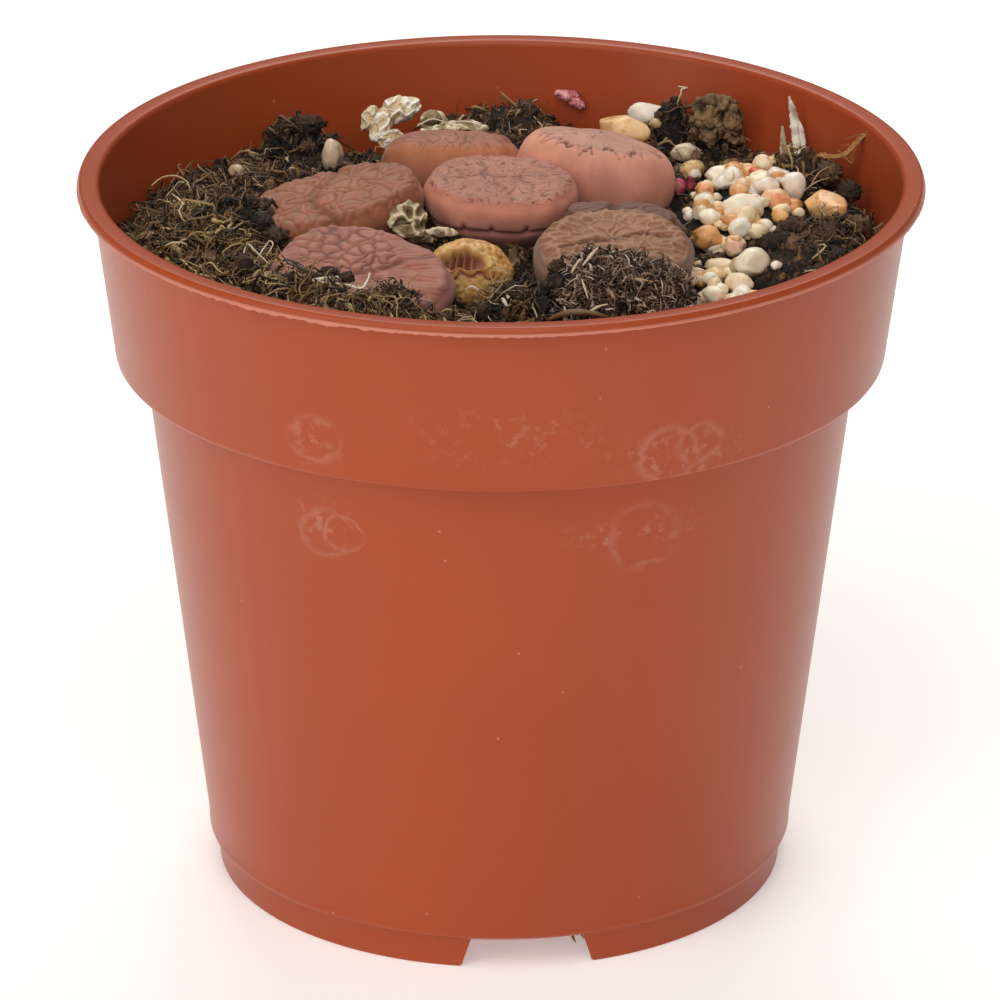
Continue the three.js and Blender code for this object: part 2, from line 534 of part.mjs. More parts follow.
// The white crumpled sheath: a lump with a leg and a curl that grew together
const whiteHusk = (grow) => [
  [[2.3, 1.5, 1.3], [-10.9, 31.0, 69.6], 20],
  [[1.7, 1.5, 0.9], [-10.3, 33.0, 70.3], 10],
  [[0.8, 2.6, 1.1], [-12.7, 28.0, 69.3], -8],
  [[1.2, 1.8, 1.4], [-13.8, 28.4, 69.3], 20],
].map(([half, at, turn], count) =>
  solidOf(placed(lump(half.map((size) => size + grow), 0.1, count + 2, 1), turn, ...at)))
  .reduce((whole, piece) => whole.add(piece));
addPart('husk_white', geometryOf(whiteHusk(0)), COLOURS.huskWhite, 0.75);
soil = soil.subtract(whiteHusk(GAP));

const RIM_HUSK_PATH = [[-8.6, 24.0, 68.9], [-6.4, 25.2, 69.5], [-3.6, 25.3, 69.7], [-0.8, 24.2, 68.9]];
const RIM_HUSK_HALF_HEIGHT = 1.5;
const RIM_HUSK_WIDTHS = [0.35, 0.4, 0.45, 0.45, 0.45, 0.4, 0.35];
addPart('husk_rim', strand(RIM_HUSK_PATH, RIM_HUSK_WIDTHS, RIM_HUSK_HALF_HEIGHT, 6, 0),
  COLOURS.huskWhite, 0.75);
sinkIn(strand(RIM_HUSK_PATH, RIM_HUSK_WIDTHS, RIM_HUSK_HALF_HEIGHT, 6, CURVED_GAP));

// Slivers and the strand stand in the soil and lean on the pot's wall
const SLIVERS = [
  { name: 'sliver_tall', path: [[31.0, 17.6, 65.5], [30.6, 20.2, 69.6], [29.8, 24.4, 74.0]],
    widths: [0.3, 0.35, 0.5, 0.6, 0.55, 0.3], thick: 0.3 },
  { name: 'sliver_short', path: [[29.7, 16.6, 65.5], [29.6, 17.6, 69.2], [29.2, 19.4, 72.5]],
    widths: [0.3, 0.35, 0.4, 0.4, 0.3], thick: 0.3 },
];
for (const { name, path, widths, thick } of SLIVERS) {
  addPart(name, strand(path, widths, thick, 6, 0), COLOURS.sliver, 0.6);
  sinkIn(strand(path, widths, thick, 6, GAP));
}

const ROOT_PATH = [
  [32.2, 21.4, 66.0], [33.0, 19.6, 68.4], [34.2, 17.6, 68.8], [35.0, 15.9, 71.0], [36.2, 14.6, 72.6],
  [36.9, 14.0, 73.6],
];
const ROOT_WIDTHS = [0.35, 0.45, 0.45, 0.5, 0.5, 0.5, 0.45, 0.45, 0.4, 0.4, 0.35];
addPart('root_strand', strand(ROOT_PATH, ROOT_WIDTHS, 0.4, 6, 0), COLOURS.root, 0.9);
sinkIn(strand(ROOT_PATH, ROOT_WIDTHS, 0.4, 6, GAP));

const BARK = { half: [3.1, 1.7, 3.2], at: [22.4, 28.2, 69.8], turn: -14 };
addPart('bark_chip', placed(lump(BARK.half, 0.14, 6, 1), BARK.turn, ...BARK.at), COLOURS.bark, 0.95);
sinkIn(placed(lump(BARK.half.map((size) => size + CURVED_GAP), 0.14, 6, 1), BARK.turn, ...BARK.at));

const GRANULES = [
  { name: 'granule_pink', half: [0.65, 0.65, 1.0], at: [18.3, 13.6], colour: COLOURS.pink },
  { name: 'granule_magenta', half: [0.55, 0.55, 0.95], at: [19.5, 15.2], colour: COLOURS.magenta },
];
for (const { name, half, at, colour } of GRANULES) {
  const z = soilHeight(...at) + half[2] * 0.6;
  addPart(name, placed(lump(half, 0, 0, 1), 0, ...at, z), colour, 0.7);
  sinkIn(placed(lump(half.map((size) => (size + GAP) * ICOSAHEDRON_REACH), 0, 0, 0), 0, ...at, z));
}

// Crumbs that the pockets cut loose are dropped: the soil is one body
const pieces = soil.decompose().sort((one, other) => other.volume() - one.volume());
addPart('peat_soil', geometryOf(pieces[0]), COLOURS.soil, 0.95);

export default parts;
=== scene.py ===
# A clump of living stones in a plastic nursery pot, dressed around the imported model.
# Metres, +Z up. The pot's foot stands on the floor, and -Y is the front.
import json
import math

import bmesh
import bpy
import numpy as np
from mathutils import Matrix, Vector, noise


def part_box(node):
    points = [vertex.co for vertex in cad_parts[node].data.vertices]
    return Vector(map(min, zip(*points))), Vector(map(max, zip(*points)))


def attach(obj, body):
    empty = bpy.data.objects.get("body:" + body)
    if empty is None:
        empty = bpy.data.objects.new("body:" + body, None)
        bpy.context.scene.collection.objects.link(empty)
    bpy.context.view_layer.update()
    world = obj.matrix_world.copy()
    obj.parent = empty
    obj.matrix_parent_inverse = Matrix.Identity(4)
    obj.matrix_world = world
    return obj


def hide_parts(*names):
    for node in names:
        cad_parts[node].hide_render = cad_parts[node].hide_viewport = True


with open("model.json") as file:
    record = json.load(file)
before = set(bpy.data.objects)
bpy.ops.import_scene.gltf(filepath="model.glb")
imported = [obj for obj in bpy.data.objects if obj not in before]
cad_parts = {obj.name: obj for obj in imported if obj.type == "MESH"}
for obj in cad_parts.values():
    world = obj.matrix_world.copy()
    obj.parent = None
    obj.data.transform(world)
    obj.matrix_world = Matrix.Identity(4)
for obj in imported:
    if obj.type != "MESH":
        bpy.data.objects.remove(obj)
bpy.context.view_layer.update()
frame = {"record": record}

# Camera
# It stands well in front of the pot and looks down on it at 23 degrees through a long lens, and it
# leans a hair to one side, as the photograph does.
LENS_MM = 266.3
CAMERA_AIM = Vector((0, 0, 0.0389))
CAMERA_DISTANCE = 0.7568
CAMERA_DOWN = math.radians(22.886)
CAMERA_LEAN = math.radians(0.138)

scene = bpy.context.scene
camera = bpy.data.objects.new("camera", bpy.data.cameras.new("camera"))
camera.data.lens = LENS_MM
camera.data.clip_end = 20
backwards = Vector((0, -math.cos(CAMERA_DOWN), math.sin(CAMERA_DOWN)))
camera.matrix_world = (
    Matrix.Translation(CAMERA_AIM + backwards * CAMERA_DISTANCE)
    @ Matrix.Rotation(math.pi / 2 - CAMERA_DOWN, 4, "X")
    @ Matrix.Rotation(CAMERA_LEAN, 4, "Z")
)
scene.collection.objects.link(camera)
scene.camera = camera

# Floor and light
# A white acrylic light table, lit a little from below, so that the ground stays white all round.
# Five soft boxes: one in front and one high above it, one at the front left and one low at the left
# that shade the pot towards the right, and one high behind that lights the rims.
FLOOR_HALF = 1.5
FLOOR_WHITE = "#f7f7f6"
FLOOR_GLOW = 0.33
ROOM_WHITE = "#ffffff"
ROOM_STRENGTH = 0.14
LAMP_WARM = "#fffaf2"
SOFT_BOXES = {
    "front_soft_box": {"at": (0.0, -0.9, 0.6), "size": 0.7, "watts": 2.5},
    "high_front_soft_box": {"at": (0.0, -0.5, 1.1), "size": 0.7, "watts": 3.4},
    "front_left_soft_box": {"at": (-0.6, -0.65, 0.75), "size": 0.7, "watts": 2.3},
    "low_left_soft_box": {"at": (-0.8, -0.6, 0.2), "size": 0.5, "watts": 1.5},
    "back_soft_box": {"at": (0.0, 0.7, 0.9), "size": 0.7, "watts": 6.2},
}


def colour(hex_code, alpha=1.0):
    """A colour written as sRGB hex, turned to the linear values that Blender's sockets hold."""
    channels = [int(hex_code[i : i + 2], 16) / 255 for i in (1, 3, 5)]
    return [c / 12.92 if c <= 0.04045 else ((c + 0.055) / 1.055) ** 2.4 for c in channels] + [alpha]


def add_node(tree, kind, inputs=None, stops=None, **settings):
    """Adds a node: its settings, its inputs (values, sockets or nodes), and a ramp's stops."""
    added = tree.nodes.new(kind)
    for name, value in settings.items():
        setattr(added, name, value)
    for name, value in (inputs or {}).items():
        if isinstance(value, bpy.types.Node):
            value = value.outputs[0]
        if isinstance(value, bpy.types.NodeSocket):
            tree.links.new(value, added.inputs[name])
        else:
            added.inputs[name].default_value = value
    for count, (place, hex_code) in enumerate(stops or []):
        ramp = added.color_ramp.elements
        stop = ramp[count] if count < 2 else ramp.new(place)
        stop.position = place
        stop.color = colour(hex_code)
    return added


def new_material(name, base="#808080", **settings):
    """A material with one principled shader, whose plain sockets are set straight on it."""
    made = bpy.data.materials.new(name)
    made.use_nodes = True
    shader = made.node_tree.nodes["Principled BSDF"]
    shader.inputs["Base Color"].default_value = colour(base)
    for socket, value in settings.items():
        shader.inputs[socket.replace("_", " ")].default_value = value
    return made, made.node_tree, shader


def add_mesh(name, points_mm, faces):
    """A smooth-shaded mesh object at the origin, from points in millimetres."""
    mesh = bpy.data.meshes.new(name)
    mesh.from_pydata((np.asarray(points_mm, float) / 1000).tolist(), [], faces)
    mesh.validate()
    mesh.polygons.foreach_set("use_smooth", [True] * len(mesh.polygons))
    made = bpy.data.objects.new(name, mesh)
    scene.collection.objects.link(made)
    return made


scene.world = bpy.data.worlds.new("white_surroundings")
scene.world.use_nodes = True
room = scene.world.node_tree.nodes["Background"]
room.inputs["Color"].default_value = colour(ROOM_WHITE)
room.inputs["Strength"].default_value = ROOM_STRENGTH
scene.view_settings.view_transform = "Standard"

floor_edge = FLOOR_HALF * 1000
floor = add_mesh(
    "floor",
    [(x, y, -0.02) for x, y in ((-floor_edge, -floor_edge), (floor_edge, -floor_edge),
                                (floor_edge, floor_edge), (-floor_edge, floor_edge))],
    [(0, 1, 2, 3)],
)
# Opal acrylic: matt and white, with the lamps under it showing through evenly
opal = new_material(
    "opal_acrylic", FLOOR_WHITE, Roughness=0.9, Emission_Strength=FLOOR_GLOW,
    Emission_Color=colour(ROOM_WHITE))[0]
floor.data.materials.append(opal)

for box_name, box in SOFT_BOXES.items():
    light = bpy.data.lights.new(box_name, "AREA")
    light.size = box["size"]
    light.energy = box["watts"]
    light.color = colour(LAMP_WARM)[:3]
    lamp = bpy.data.objects.new(box_name, light)
    lamp.location = box["at"]
    lamp.rotation_euler = (CAMERA_AIM - lamp.location).to_track_quat("-Z", "Y").to_euler()
    scene.collection.objects.link(lamp)

# Nursery pot
# One thin shell of injection-moulded polypropylene, coloured terracotta: a tapered body, a deep
# band for lifting and stacking, a thin rolled lip with a ragged line of flash under its edge where
# the mould closed, and a low foot ring cut by notches so that water can drain from the floor's holes.
pot_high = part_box("pot")[1]
POT_TOP = pot_high.z * 1000
LIP_RADIUS = pot_high.x * 1000
LIP_THICKNESS = 0.85
WALL = 0.8
BAND_TOP_RADIUS = 41.1
BAND_BOTTOM_RADIUS = 38.93
STEP_HEIGHT = 55.98
BODY_TOP_RADIUS = 36.17
BODY_BOTTOM_RADIUS = 29.9
FOOT_HEIGHT = 3.6
FOOT_RADIUS = 29.05
FLOOR_UNDERSIDE = 3.4
FLOOR_TOP = 4.3
BEAD = 0.22
POT_SIDES = 480
SHARPEST_SMOOTH = math.radians(40)
FLASH_SIDES = 1440
FLASH_POINTS = 5
FLASH_DROP = 0.13
FLASH_FACES_LEFT = math.radians(-112)
NOTCH_ANGLES = [math.radians(-84.3 + 120 * i) for i in range(3)]
NOTCH_TOP_WIDTH = 11.3
NOTCH_BOTTOM_WIDTH = 12.9
NOTCH_HEIGHT = 3.3
NOTCH_CORNER = 0.7
DRAIN_ANGLES = [math.radians(-73 + 45 * i) for i in range(8)]
DRAIN_RADIUS = 2.0
DRAIN_SIDES = 36
DRAIN_CIRCLE_RADIUS = 24.2


def eased(corners, steps=4):
    """An outline whose corners, given as radius, height and fillet, are rounded off."""
    outline = []
    for count, (r, z, fillet) in enumerate(corners):
        here = Vector((r, z))
        if not fillet:
            outline.append(here)
            continue
        before = (Vector(corners[count - 1][:2]) - here).normalized() * fillet
        after = (Vector(corners[(count + 1) % len(corners)][:2]) - here).normalized() * fillet
        for step in range(steps + 1):
            t = step / steps
            outline.append(here + before * (1 - t) ** 2 + after * t**2)
    return outline


def inside_radius(z):
    """The inside of the wall at a height: the body below the step, the band above it."""
    if z > STEP_HEIGHT:
        share = (z - STEP_HEIGHT) / (POT_TOP - LIP_THICKNESS - STEP_HEIGHT)
        return BAND_BOTTOM_RADIUS + (BAND_TOP_RADIUS - BAND_BOTTOM_RADIUS) * share - WALL
    share = (z - FOOT_HEIGHT) / (STEP_HEIGHT - FOOT_HEIGHT)
    return BODY_BOTTOM_RADIUS + (BODY_TOP_RADIUS - BODY_BOTTOM_RADIUS) * share - WALL


def turned(outline, sides):
    """Points and faces of an outline turned about the axis; its two ends lie on the axis."""
    angles = np.arange(sides) * 2 * math.pi / sides
    points = [(0, 0, outline[0].y)]
    for r, z in outline[1:-1]:
        points.extend(zip(r * np.cos(angles), r * np.sin(angles), np.full(sides, z)))
    points.append((0, 0, outline[-1].y))
    faces, last = [], len(points) - 1
    ring_count = len(outline) - 2
    for side in range(sides):
        after = (side + 1) % sides
        faces.append((0, 1 + after, 1 + side))
        for ring in range(ring_count - 1):
            low, high = 1 + ring * sides, 1 + (ring + 1) * sides
            faces.append((low + side, low + after, high + after, high + side))
        top = 1 + (ring_count - 1) * sides
        faces.append((top + side, top + after, last))
    return np.array(points), faces


lip_under = POT_TOP - LIP_THICKNESS
shelf = STEP_HEIGHT + WALL
pot_corners = [
    (0, FLOOR_UNDERSIDE, 0),
    (FOOT_RADIUS - WALL, FLOOR_UNDERSIDE, 0.3),
    (FOOT_RADIUS - WALL, 0, 0.15),
    (FOOT_RADIUS, 0, 0.25),
    (FOOT_RADIUS + 0.1, FOOT_HEIGHT - 0.4, 0.3),
    (BODY_BOTTOM_RADIUS + BEAD, FOOT_HEIGHT + 0.2, 0.35),
    (BODY_BOTTOM_RADIUS + BEAD, FOOT_HEIGHT + 1.2, 0.5),
    (BODY_BOTTOM_RADIUS + 0.33, FOOT_HEIGHT + 2.4, 0.8),
    (BODY_TOP_RADIUS - 0.05, STEP_HEIGHT, 0.35),
    (BAND_BOTTOM_RADIUS, STEP_HEIGHT, 0.55),
    (BAND_TOP_RADIUS, lip_under - 0.05, 0.5),
    (LIP_RADIUS - 0.12, lip_under, 0),
    (LIP_RADIUS, lip_under + 0.35, 0.1),
    (LIP_RADIUS - 0.25, POT_TOP, 0.22),
    (inside_radius(lip_under), POT_TOP - 0.05, 0.55),
    (inside_radius(shelf), shelf, 0.5),
    (inside_radius(STEP_HEIGHT) - 0.1, shelf, 0.4),
    (inside_radius(FLOOR_TOP), FLOOR_TOP, 0.6),
    (0, FLOOR_TOP, 0),
]
points, faces = turned(eased(pot_corners), POT_SIDES)


def out_of_round(points):
    """Pushes points in or out so that the lip is a little out of round."""
    around = np.arctan2(points[:, 1], points[:, 0])
    at_lip = np.clip((points[:, 2] - STEP_HEIGHT) / (POT_TOP - STEP_HEIGHT), 0, 1) ** 2
    wobble = 0.09 * np.sin(2 * around + 0.6) + 0.05 * np.sin(5 * around + 2.0)
    points[:, :2] *= (1 + at_lip * wobble / np.maximum(np.hypot(points[:, 0], points[:, 1]), 1))[:, None]
    return points


pot = add_mesh("nursery_pot", out_of_round(points), faces)


def cut_prism(target, near_end, far_end):
    """Cuts a prism, given as the outlines of its two ends, out of a closed mesh for good."""
    count = len(near_end)
    walls = [(i, (i + 1) % count, count + (i + 1) % count, count + i) for i in range(count)]
    ends = [tuple(range(count))[::-1], tuple(range(count, 2 * count))]
    cutter = add_mesh("cutter", near_end + far_end, walls + ends)
    modifier = target.modifiers.new("cut", "BOOLEAN")
    modifier.operation = "DIFFERENCE"
    modifier.object = cutter
    modifier.solver = "EXACT"
    bake(target)
    bpy.data.objects.remove(cutter)


def bake(target):
    """Replaces an object's mesh by what its modifiers make of it, and drops them."""
    shape = target.evaluated_get(bpy.context.evaluated_depsgraph_get())
    finished = bpy.data.meshes.new_from_object(shape)
    target.modifiers.clear()
    target.data = finished


notch_half = NOTCH_BOTTOM_WIDTH / 2
notch_outline = [(-notch_half - NOTCH_CORNER, -1), (notch_half + NOTCH_CORNER, -1)]
for side_sign in (1, -1):
    curve = [
        (side_sign * (notch_half + NOTCH_CORNER * (1 - math.sin(a))), NOTCH_CORNER * (1 - math.cos(a)))
        for a in np.linspace(0, math.pi / 2, 5)
    ]
    top = (side_sign * NOTCH_TOP_WIDTH / 2, NOTCH_HEIGHT)
    notch_outline.extend(curve + [top] if side_sign > 0 else [top] + curve[::-1])
for angle in NOTCH_ANGLES:
    outwards = Vector((math.cos(angle), math.sin(angle), 0))
    along = Vector((-outwards.y, outwards.x, 0))
    cut_prism(pot, *([outwards * far + along * x + Vector((0, 0, z)) for x, z in notch_outline]
                     for far in (FOOT_RADIUS - 4, FOOT_RADIUS + 4)))
for angle in DRAIN_ANGLES:
    middle = Vector((math.cos(angle), math.sin(angle), 0)) * DRAIN_CIRCLE_RADIUS
    ring = [middle + Vector((math.cos(a), math.sin(a), 0)) * DRAIN_RADIUS
            for a in np.linspace(0, 2 * math.pi, DRAIN_SIDES + 1)[:-1]]
    cut_prism(pot, *([p + Vector((0, 0, z)) for p in ring] for z in (FLOOR_UNDERSIDE - 1, FLOOR_TOP + 1)))
pot.data.polygons.foreach_set("use_smooth", [True] * len(pot.data.polygons))
pot.data.set_sharp_from_angle(angle=SHARPEST_SMOOTH)


def ragged(angle, pace, seed):
    """An uneven line's height along the lip, from about -0.5 to 0.5."""
    return noise.noise(Vector((math.cos(angle) * pace, math.sin(angle) * pace, seed)))


# The flash under the lip's edge: a thin uneven skirt all round, torn and hanging at the front left
skirt = []
for angle in np.arange(FLASH_SIDES) * 2 * math.pi / FLASH_SIDES:
    off = math.remainder(angle - FLASH_FACES_LEFT, 2 * math.pi)
    strongest = math.exp(-((off / 0.4) ** 2))
    torn = max(0.05, 0.42 + ragged(angle, 9, 3) + 0.9 * ragged(angle, 60, 8))
    drop = FLASH_DROP * (0.3 + 1.9 * strongest) * torn + 0.05 * ragged(angle, 140, 5)
    bend = 0.05 * ragged(angle, 40, 12)
    hem = (0.06 + bend, -drop), (-0.05 + bend, -drop - 0.03)
    for r, z in ((0.0, 0.32), (0.05, 0.1), *hem, (-0.16, 0.08)):
        reach = LIP_RADIUS + r
        skirt.append((reach * math.cos(angle), reach * math.sin(angle), lip_under + z))
skirt_faces = []
for side in range(FLASH_SIDES):
    near, far = side * FLASH_POINTS, (side + 1) % FLASH_SIDES * FLASH_POINTS
    for i in range(FLASH_POINTS):
        j = (i + 1) % FLASH_POINTS
        skirt_faces.append((near + i, near + j, far + j, far + i))
skirt = add_mesh("flash", out_of_round(np.array(skirt)), skirt_faces)
body_points = len(pot.data.vertices)
both = bmesh.new()
both.from_mesh(pot.data)
both.from_mesh(skirt.data)
both.to_mesh(pot.data)
both.free()
bpy.data.objects.remove(skirt)


def write_values(made, label, values):
    """Gives each point of a piece a value or a colour, for its material to read by name."""
    is_colour = np.ndim(values) == 2
    attribute = made.data.attributes.new(label, "FLOAT_COLOR" if is_colour else "FLOAT", "POINT")
    attribute.data.foreach_set("color" if is_colour else "value", np.asarray(values, np.float32).ravel())


write_values(pot, "flash", np.arange(len(pot.data.vertices)) >= body_points)

# Polypropylene, injection moulded: satin, with soft broad reflections. Hard water has dried on it
# in faint pale rings and smears, which are a little rougher than the plastic.
POT_COLOUR = "#ad4c29"
POT_SHADE = "#a54727"
SCALE_COLOUR = "#d9b3a4"
# The flash's paler colour is a painted highlight along its lit edge.
FLASH_HIGHLIGHT_COLOUR = "#d98975"
FLASH_HIGHLIGHT_SHARE = 0.75
RING_JITTER = 0.0028
CLEAN_ROUGHNESS = 0.32
SCALE_ROUGHNESS = 0.6
WATER_MARKS = [
    # across, height, radius of the ring, width of its line, strength
    (-15.4, 48.7, 1.9, 0.3, 0.26),
    (-17.0, 48.4, 2.6, 0.45, 0.16),
    (-18.0, 60.0, 2.4, 0.5, 0.16),
    (16.2, 58.8, 3.0, 0.6, 0.16),
    (19.4, 59.4, 2.2, 0.5, 0.15),
    (14.0, 48.8, 3.4, 0.7, 0.12),
]
SMEAR_AREAS = [
    # across, height, half width, half height, strength
    (17.0, 58.4, 9.0, 3.4, 0.3),
    (13.0, 49.4, 9.0, 2.2, 0.24),
    (-17.0, 49.5, 4.0, 5.0, 0.2),
    (-18.0, 60.0, 4.0, 4.0, 0.2),
    (0.0, 62.5, 14.0, 5.0, 0.16),
]

pot_plastic, tree, shader = new_material(
    "terracotta_polypropylene", POT_COLOUR, Roughness=CLEAN_ROUGHNESS, IOR=1.49, Specular_IOR_Level=0.28)
place = add_node(tree, "ShaderNodeTexCoord").outputs["Object"]
cloudy = add_node(tree, "ShaderNodeTexNoise", {"Vector": place, "Scale": 60.0, "Detail": 3.0})
speckle = add_node(tree, "ShaderNodeTexNoise", {
    "Vector": place, "Scale": 1100.0, "Detail": 3.0, "Roughness": 0.65})
torn = add_node(tree, "ShaderNodeTexNoise", {"Vector": place, "Scale": 420.0, "Detail": 4.0})
split = add_node(tree, "ShaderNodeSeparateXYZ", {"Vector": place})
jitter = add_node(tree, "ShaderNodeMath", {0: torn.outputs["Fac"], 1: -0.5}, operation="ADD")
jitter = add_node(tree, "ShaderNodeMath", {0: jitter, 1: RING_JITTER}, operation="MULTIPLY")
front = add_node(tree, "ShaderNodeMath", {0: split.outputs["Y"], 1: 0.0}, operation="LESS_THAN")


def flat_distance(across, high, wide=1.0, tall=1.0):
    """How far a place on the pot's front is from a mark's middle, in the mark's own half sizes."""
    dx = add_node(tree, "ShaderNodeMath", {0: split.outputs["X"], 1: across / 1000}, operation="SUBTRACT")
    dx = add_node(tree, "ShaderNodeMath", {0: dx, 1: wide}, operation="DIVIDE")
    dz = add_node(tree, "ShaderNodeMath", {0: split.outputs["Z"], 1: high / 1000}, operation="SUBTRACT")
    dz = add_node(tree, "ShaderNodeMath", {0: dz, 1: tall}, operation="DIVIDE")
    flat = add_node(tree, "ShaderNodeCombineXYZ", {"X": dx, "Y": dz})
    return add_node(tree, "ShaderNodeVectorMath", {0: flat}, operation="LENGTH").outputs["Value"]


total = None
for across, high, ring, width, strength in WATER_MARKS:
    far = flat_distance(across, high)
    far = add_node(tree, "ShaderNodeMath", {0: far, 1: jitter}, operation="ADD").outputs[0]
    off = add_node(tree, "ShaderNodeMath", {0: far, 1: ring / 1000}, operation="SUBTRACT").outputs[0]
    off = add_node(tree, "ShaderNodeMath", {0: off}, operation="ABSOLUTE").outputs[0]
    line = add_node(tree, "ShaderNodeMapRange", {
        "Value": off, "From Min": 0.0, "From Max": width / 1000, "To Min": strength,
        "To Max": 0.0}).outputs[0]
    total = line if total is None else add_node(
        tree, "ShaderNodeMath", {0: total, 1: line}, operation="MAXIMUM").outputs[0]
speckled = add_node(tree, "ShaderNodeMapRange", {
    "Value": speckle.outputs["Fac"], "From Min": 0.52, "From Max": 0.68})
for across, high, half_wide, half_tall, strength in SMEAR_AREAS:
    far = flat_distance(across, high, half_wide / 1000, half_tall / 1000)
    area = add_node(tree, "ShaderNodeMapRange", {
        "Value": far, "From Min": 0.3, "From Max": 1.0, "To Min": strength, "To Max": 0.0}).outputs[0]
    area = add_node(tree, "ShaderNodeMath", {0: area, 1: speckled}, operation="MULTIPLY")
    total = add_node(tree, "ShaderNodeMath", {0: total, 1: area}, operation="MAXIMUM").outputs[0]
broken = add_node(tree, "ShaderNodeMapRange", {
    "Value": torn.outputs["Fac"], "From Min": 0.35, "From Max": 0.6})
total = add_node(tree, "ShaderNodeMath", {0: total, 1: broken}, operation="MULTIPLY").outputs[0]
total = add_node(tree, "ShaderNodeMath", {0: total, 1: front}, operation="MULTIPLY").outputs[0]
# Dust: a few pale specks all over
dust = add_node(tree, "ShaderNodeTexVoronoi", {"Vector": place, "Scale": 170.0})
dust = add_node(tree, "ShaderNodeMapRange", {
    "Value": dust.outputs["Distance"], "From Min": 0.01, "From Max": 0.035, "To Min": 0.4,
    "To Max": 0.0})
total = add_node(tree, "ShaderNodeMath", {0: total, 1: dust}, operation="MAXIMUM").outputs[0]
plastic = add_node(tree, "ShaderNodeMix", {
    "Factor": cloudy.outputs["Fac"], "A": colour(POT_COLOUR), "B": colour(POT_SHADE)}, data_type="RGBA")
stained = add_node(tree, "ShaderNodeMix", {
    "Factor": total, "A": plastic.outputs["Result"], "B": colour(SCALE_COLOUR)}, data_type="RGBA")
# The whole flash skirt is painted paler than the pot: a painted highlight, as if its edge caught the light.
flash_highlight = add_node(tree, "ShaderNodeAttribute", attribute_name="flash")
flash_highlight = add_node(tree, "ShaderNodeMath", {
    0: flash_highlight.outputs["Fac"], 1: FLASH_HIGHLIGHT_SHARE}, operation="MULTIPLY")
stained = add_node(tree, "ShaderNodeMix", {
    "Factor": flash_highlight, "A": stained.outputs["Result"], "B": colour(FLASH_HIGHLIGHT_COLOUR)}, data_type="RGBA")
tree.links.new(stained.outputs["Result"], shader.inputs["Base Color"])
rough = add_node(tree, "ShaderNodeMapRange", {
    "Value": total, "To Min": CLEAN_ROUGHNESS, "To Max": SCALE_ROUGHNESS})
tree.links.new(rough.outputs[0], shader.inputs["Roughness"])
grained = add_node(tree, "ShaderNodeTexNoise", {"Vector": place, "Scale": 900.0, "Detail": 2.0})
bump = add_node(tree, "ShaderNodeBump", {
    "Height": grained.outputs["Fac"], "Distance": 0.00003, "Strength": 0.5})
tree.links.new(bump.outputs["Normal"], shader.inputs["Normal"])
pot.data.materials.append(pot_plastic)
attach(pot, "root")
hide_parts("pot")

# Living stones
# Seven bodies of one clump. Each is a pair of water-filled leaves grown together into a cone that
# tapers down into the soil and shows its flat face, with wrinkled skin because the plant is thirsty.
# The dull face and the smooth flank have the bloom of a thick skin, and light goes a little way in.
BODY_TERMS = ("at", "half", "turn", "tilt", "towards", "stem")
BODIES = {
    # middle and half sizes of the face, its turn and tilt, the side it tilts towards, stem length
    "head_centre": ((0.0, 3.7, 72.6), (7.8, 6.9), -12, 2, 300, 1.0),
    "head_left": ((-17.3, 1.4, 71.6), (9.4, 6.0), 10, 13, 205, 1.0),
    "head_front_left": ((-13.6, -20.2, 72.0), (9.4, 7.5), -28, 14, 272, 1.0),
    "head_back": ((-5.0, 17.6, 72.2), (7.3, 5.6), -4, 13, 88, 1.0),
    "head_back_right": ((10.0, 13.0, 73.6), (8.4, 5.6), -20, 11, 40, 1.25),
    "head_front_right": ((11.2, -13.6, 72.1), (7.95, 6.9), 2, 14, 270, 1.0),
    "head_right": ((12.2, -1.2, 70.9), (6.0, 4.0), -8, 6, 60, 0.9),
}
BODIES = {name: dict(zip(BODY_TERMS, values)) for name, values in BODIES.items()}
# The skin from the middle of the face outwards and down: share of the face's half size, and drop.
# Most bodies are flat on top with a tight rim; the two at the back are rounded like pillows.
MERIDIAN = [
    (0.0, -0.35), (0.3, -0.32), (0.6, -0.22), (0.8, -0.12), (0.9, 0.02), (0.965, 0.55), (1.0, 1.6),
    (0.97, 3.0), (0.88, 4.3), (0.74, 5.7), (0.58, 8.0), (0.38, 11.5), (0.2, 15.5), (0.0, 21.0),
]
ROUND_MERIDIAN = [
    (0.0, -0.4), (0.3, -0.3), (0.55, -0.05), (0.75, 0.35), (0.88, 0.95), (0.965, 1.9), (1.0, 3.1),
    (0.98, 4.4), (0.9, 5.8), (0.77, 7.2), (0.6, 9.4), (0.4, 12.6), (0.2, 16.4), (0.0, 21.0),
]
LEAN_FADE = 5.0
FULLNESS = 2.25
BODY_SIDES = 320
SKIN_STEP = 0.135
DEEP_STEP = 1.2
DEEP_START = 6.5
FOLD_DEPTH = 0.34
FOLD_REACH = 0.28
PUCKER_DEPTH = 0.3
PUCKER_REACH = 0.26
ROUNDED_AT = 0.985
ROUNDED_REACH = 0.075


def ease(value, low, high):
    """A smooth step from 0 at low to 1 at high."""
    t = np.clip((np.asarray(value, float) - low) / (high - low), 0, 1)
    return t * t * (3 - 2 * t)


def smooth_through(points, steps):
    """A smooth curve through the points: a Catmull-Rom spline."""
    p = np.asarray(points, float)
    p = np.vstack([2 * p[0] - p[1], p, 2 * p[-1] - p[-2]])
    t = np.linspace(0, 1, steps, endpoint=False)[:, None]
    spans = []
    for a, b, c, d in zip(p, p[1:], p[2:], p[3:]):
        spans.append(0.5 * (2 * b + (c - a) * t + (2 * a - 5 * b + 4 * c - d) * t**2
                            + (3 * b - a - 3 * c + d) * t**3))
    return np.vstack(spans + [p[-2:-1]])


